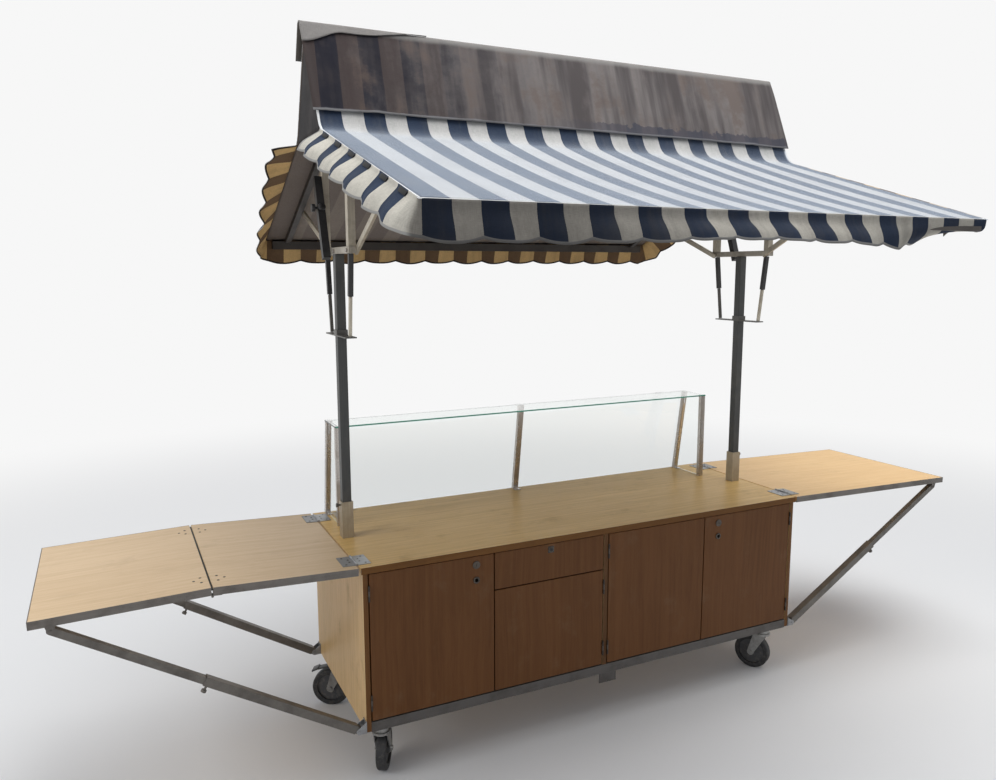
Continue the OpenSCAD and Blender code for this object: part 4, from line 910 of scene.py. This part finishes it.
def weathered(material):
    """Years of rain on striped cloth: it fades to a streaky grey towards the right, with paler patches."""
    tree, shader, cloth = coloured_so_far(material)
    across, down = on_axes(tree, "Object")["X"], on_axes(tree, "UV")["Y"]
    sheet = add(tree, "TexCoord").outputs["UV"]
    streaks = stretched_noise(tree, sheet, (10, 0.9, 1), 4.0, 0.55)
    patches = even_noise(tree, sheet, 5.5, 7.0, 0.66)
    wear = stretched_noise(tree, sheet, (7.5, 3.4, 1), 5.0, 0.6)
    blots = even_noise(tree, sheet, 21.0, 6.0, 0.6)
    faded = ranged(tree, maths(tree, "MULTIPLY_ADD", patches, 1.3, across), -0.35, 0.55, 0.12, 0.93)
    grey = mix(tree, ranged(tree, streaks, 0.38, 0.62), (0.075, 0.066, 0.065), (0.180, 0.163, 0.156))
    # Paler patches, stronger to the right.
    pale_patches = times(tree, ranged(tree, wear, 0.52, 0.72), ranged(tree, across, -1.0, -0.4, 0.22, 0.34))
    brown = times(tree, ranged(tree, times(tree, streaks, patches), 0.24, 0.36), 0.5)
    worn = times(tree, ranged(tree, maths(tree, "MULTIPLY_ADD", patches, 0.02, down), 0.322, 0.345), 0.75)
    tide = ranged(tree, maths(tree, "MULTIPLY_ADD", blots, 0.085, down), 0.083, 0.088, 1.0, 0.0, False)
    tide = times(tree, tide, ranged(tree, across, -0.2, 0.25, 0.0, 0.8))
    edge = times(tree, ranged(tree, maths(tree, "MULTIPLY_ADD", patches, 0.022, down), 0.022, 0.016), 0.6)
    colour = cloth
    for mask, tint in ((faded, grey), (pale_patches, (0.21, 0.185, 0.175)), (brown, (0.10, 0.068, 0.052)),
                       (worn, (0.26, 0.25, 0.235)), (tide, mix(tree, 0.55, cloth, (0.075, 0.080, 0.105))),
                       (edge, (0.20, 0.20, 0.21))):
        colour = mix(tree, mask, colour, tint)
    fill(tree, shader, {"Base Color": colour})
    return material


cover_outside = weathered(canvas("cover_outside", (0.004, 0.005, 0.013), (0.046, 0.033, 0.031),
                                 (0.34, 0.33, 0.31), 0.45, (0.050, 0.043, 0.042), 0.0))
cover_inside = canvas("cover_inside", (0.06, 0.055, 0.052), (0.10, 0.09, 0.08), (0.1, 0.1, 0.095), 0.5,
                      (0.09, 0.08, 0.07), 0.0)
cover = sheet_piece("ridge_cover_cloth", (-cover_half, cover_half), (0, cover_length), (150, 56), cover_place,
                    lambda x, along: (x - 0.06 * along + stripe_start, along),
                    lambda x, along: min(along, cover_length - along), cover_outside, cover_inside)
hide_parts("ridge_cover")


# Pale fold: the cover's left end, turned back on itself along the ridge so that its paler inside shows.
# It thins out to the right and lies loose on the cover.
fold_cloth = canvas("fold_cloth", (0.215, 0.203, 0.192), (0.225, 0.212, 0.200), (0.28, 0.27, 0.25), 0.45,
                    (0.20, 0.185, 0.165), 0.05)
fold_length = 0.47
ridge_along = (Vector((cover_low.y - middle_y, cover_low.z)) - Vector((0, ridge_z + 0.0075))).length


def fold_place(u, v):
    """A point of the fold; u runs right from the cover's left end and v down from the ridge."""
    depth = 0.052 * (1 - ease(0.0, 0.15, u)) + 0.036 * (1 - ease(0.20, fold_length, u)) + 0.003
    spot = cover_place(-cover_half + 0.002 + u, ridge_along - v * depth)
    lifted = 0.0038 + 0.005 * v * (0.6 + 0.4 * noise.noise(Vector((u * 16, v * 2, 0.9))))
    return spot + Vector((-0.004 * (1 - ease(0, 0.05, u)), -0.9 * lifted, 0.35 * lifted))


fold = sheet_piece("ridge_fold", (0, fold_length), (1.0, 0.0), (60, 10), fold_place, lambda u, v: (u, v * 0.1),
                   lambda u, v: 0.03, fold_cloth, fold_cloth, thick=0.0018)


# Gable ends: flat dark pieces of cloth over the kinks, cut as narrow triangles with their points at the
# ridge. Each is laced to the steep frame at its end of the roof.
gable_dark = canvas("gable_end_cloth", (0.030, 0.027, 0.026), (0.036, 0.032, 0.030), (0.04, 0.037, 0.034), 0.5,
                    (0.10, 0.09, 0.085), 0.05)
ends_low, ends_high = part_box("ridge_ends")
ends_width, ends_height = ends_high.y - ends_low.y, ends_high.z - ends_low.z
for side, name in ((-1, "gable_end_left"), (1, "gable_end_right")):
    def end_place(u, v):
        """A point of a gable end, from its foot to its narrow top."""
        half = (ends_width / 2) * (1 - v) + 0.004 * v
        belly = 0.004 * math.sin(math.pi * v) * math.cos(math.pi * u / 2)
        return Vector((side * (ends_high.x - 0.002 + belly), middle_y + u * half, ends_low.z + ends_height * v))

    end = sheet_piece(name, (-1, 1), (0, 1), (16, 24), end_place, lambda u, v: (u * 0.02 + 0.03, v * 0.36),
                      lambda u, v: 0.03, gable_dark, gable_dark, outwards=side > 0)
    if side > 0:
        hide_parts("ridge_ends")


# Lacing: short runs of dark cord through eyelets, one at each pair of stripes along the roof's ends.
# They tie the gable parts of both skirts to the edges of the slopes.
lace_cord = metal("lacing_cord", (0.003, 0.003, 0.004), (0.010, 0.010, 0.011), (60, 60, 60),
                  0.0, 0.3, 0.85, 0.95, 0.0005)
first_lace, lace_length = 0.103, 0.058
for side, name in ((-1, "lacing_left"), (1, "lacing_right")):
    laces = bmesh.new()
    for place, total in ((front_place, front_total), (rear_place, rear_total)):
        run = (total - 2 * half_roof) / 2
        for reach in [first_lace + stripe_pair * index for index in range(6)]:
            if reach + 0.035 > run:
                continue
            along = reach if (side < 0) == (place is front_place) else total - reach
            ahead = (place(along + 0.025, 0.09) - place(along - 0.025, 0.09)).normalized()
            across = (place(along, 0.16) - place(along, 0.02)).normalized()
            upward = ahead.cross(across).normalized()
            upward *= 1 if upward.z > 0 else -1
            turn = Matrix((across, upward, ahead)).transposed().to_4x4()
            soft_box(laces, (0.014, 0.004, lace_length), place(along, 0.09) + upward * 0.003, 0.0014, turn)
    new_piece(name, laces, lace_cord, "counter")


# Glass guard: clear float glass on aluminium uprights, a level top pane and upright panes behind and at the
# ends. The panes' polished edges show green; the rear uprights lean towards the seller on small screwed foot
# plates.
def glass(name, *broad):
    """Clear glass that is green on its cut edges, where it faces along none of the broad faces' axes."""
    material, tree, shader = new_material(name)
    normal = on_axes(tree, "Normal")
    edges = [ranged(tree, maths(tree, "ABSOLUTE", normal[axis]), 0.6, 0.9, 1.0, 0.0, False) for axis in broad]
    edge = times(tree, *edges) if len(edges) == 2 else edges[0]
    haze = even_noise(tree, add(tree, "TexCoord").outputs["Object"], 5.0, 5.0)
    fill(tree, shader, {
        "Base Color": mix(tree, edge, (0.955, 0.975, 0.965), (0.035, 0.20, 0.14)), "Transmission Weight": 1.0,
        "Roughness": ranged(tree, haze, 0.3, 0.8, 0.015, 0.05), "IOR": 1.45})
    return material


guard_aluminium = metal("guard_upright", (0.50, 0.47, 0.44), (0.27, 0.22, 0.18), (60, 60, 1),
                        0.8, 0.5, 0.26, 0.5)
dressed(glass("top_glass", "Z"), "guard_top_glass")
dressed(glass("side_glass", "Y", "X"), "guard_side_glasses")
eased("guard_uprights", guard_aluminium, 0.0010)

bpy.context.view_layer.update()
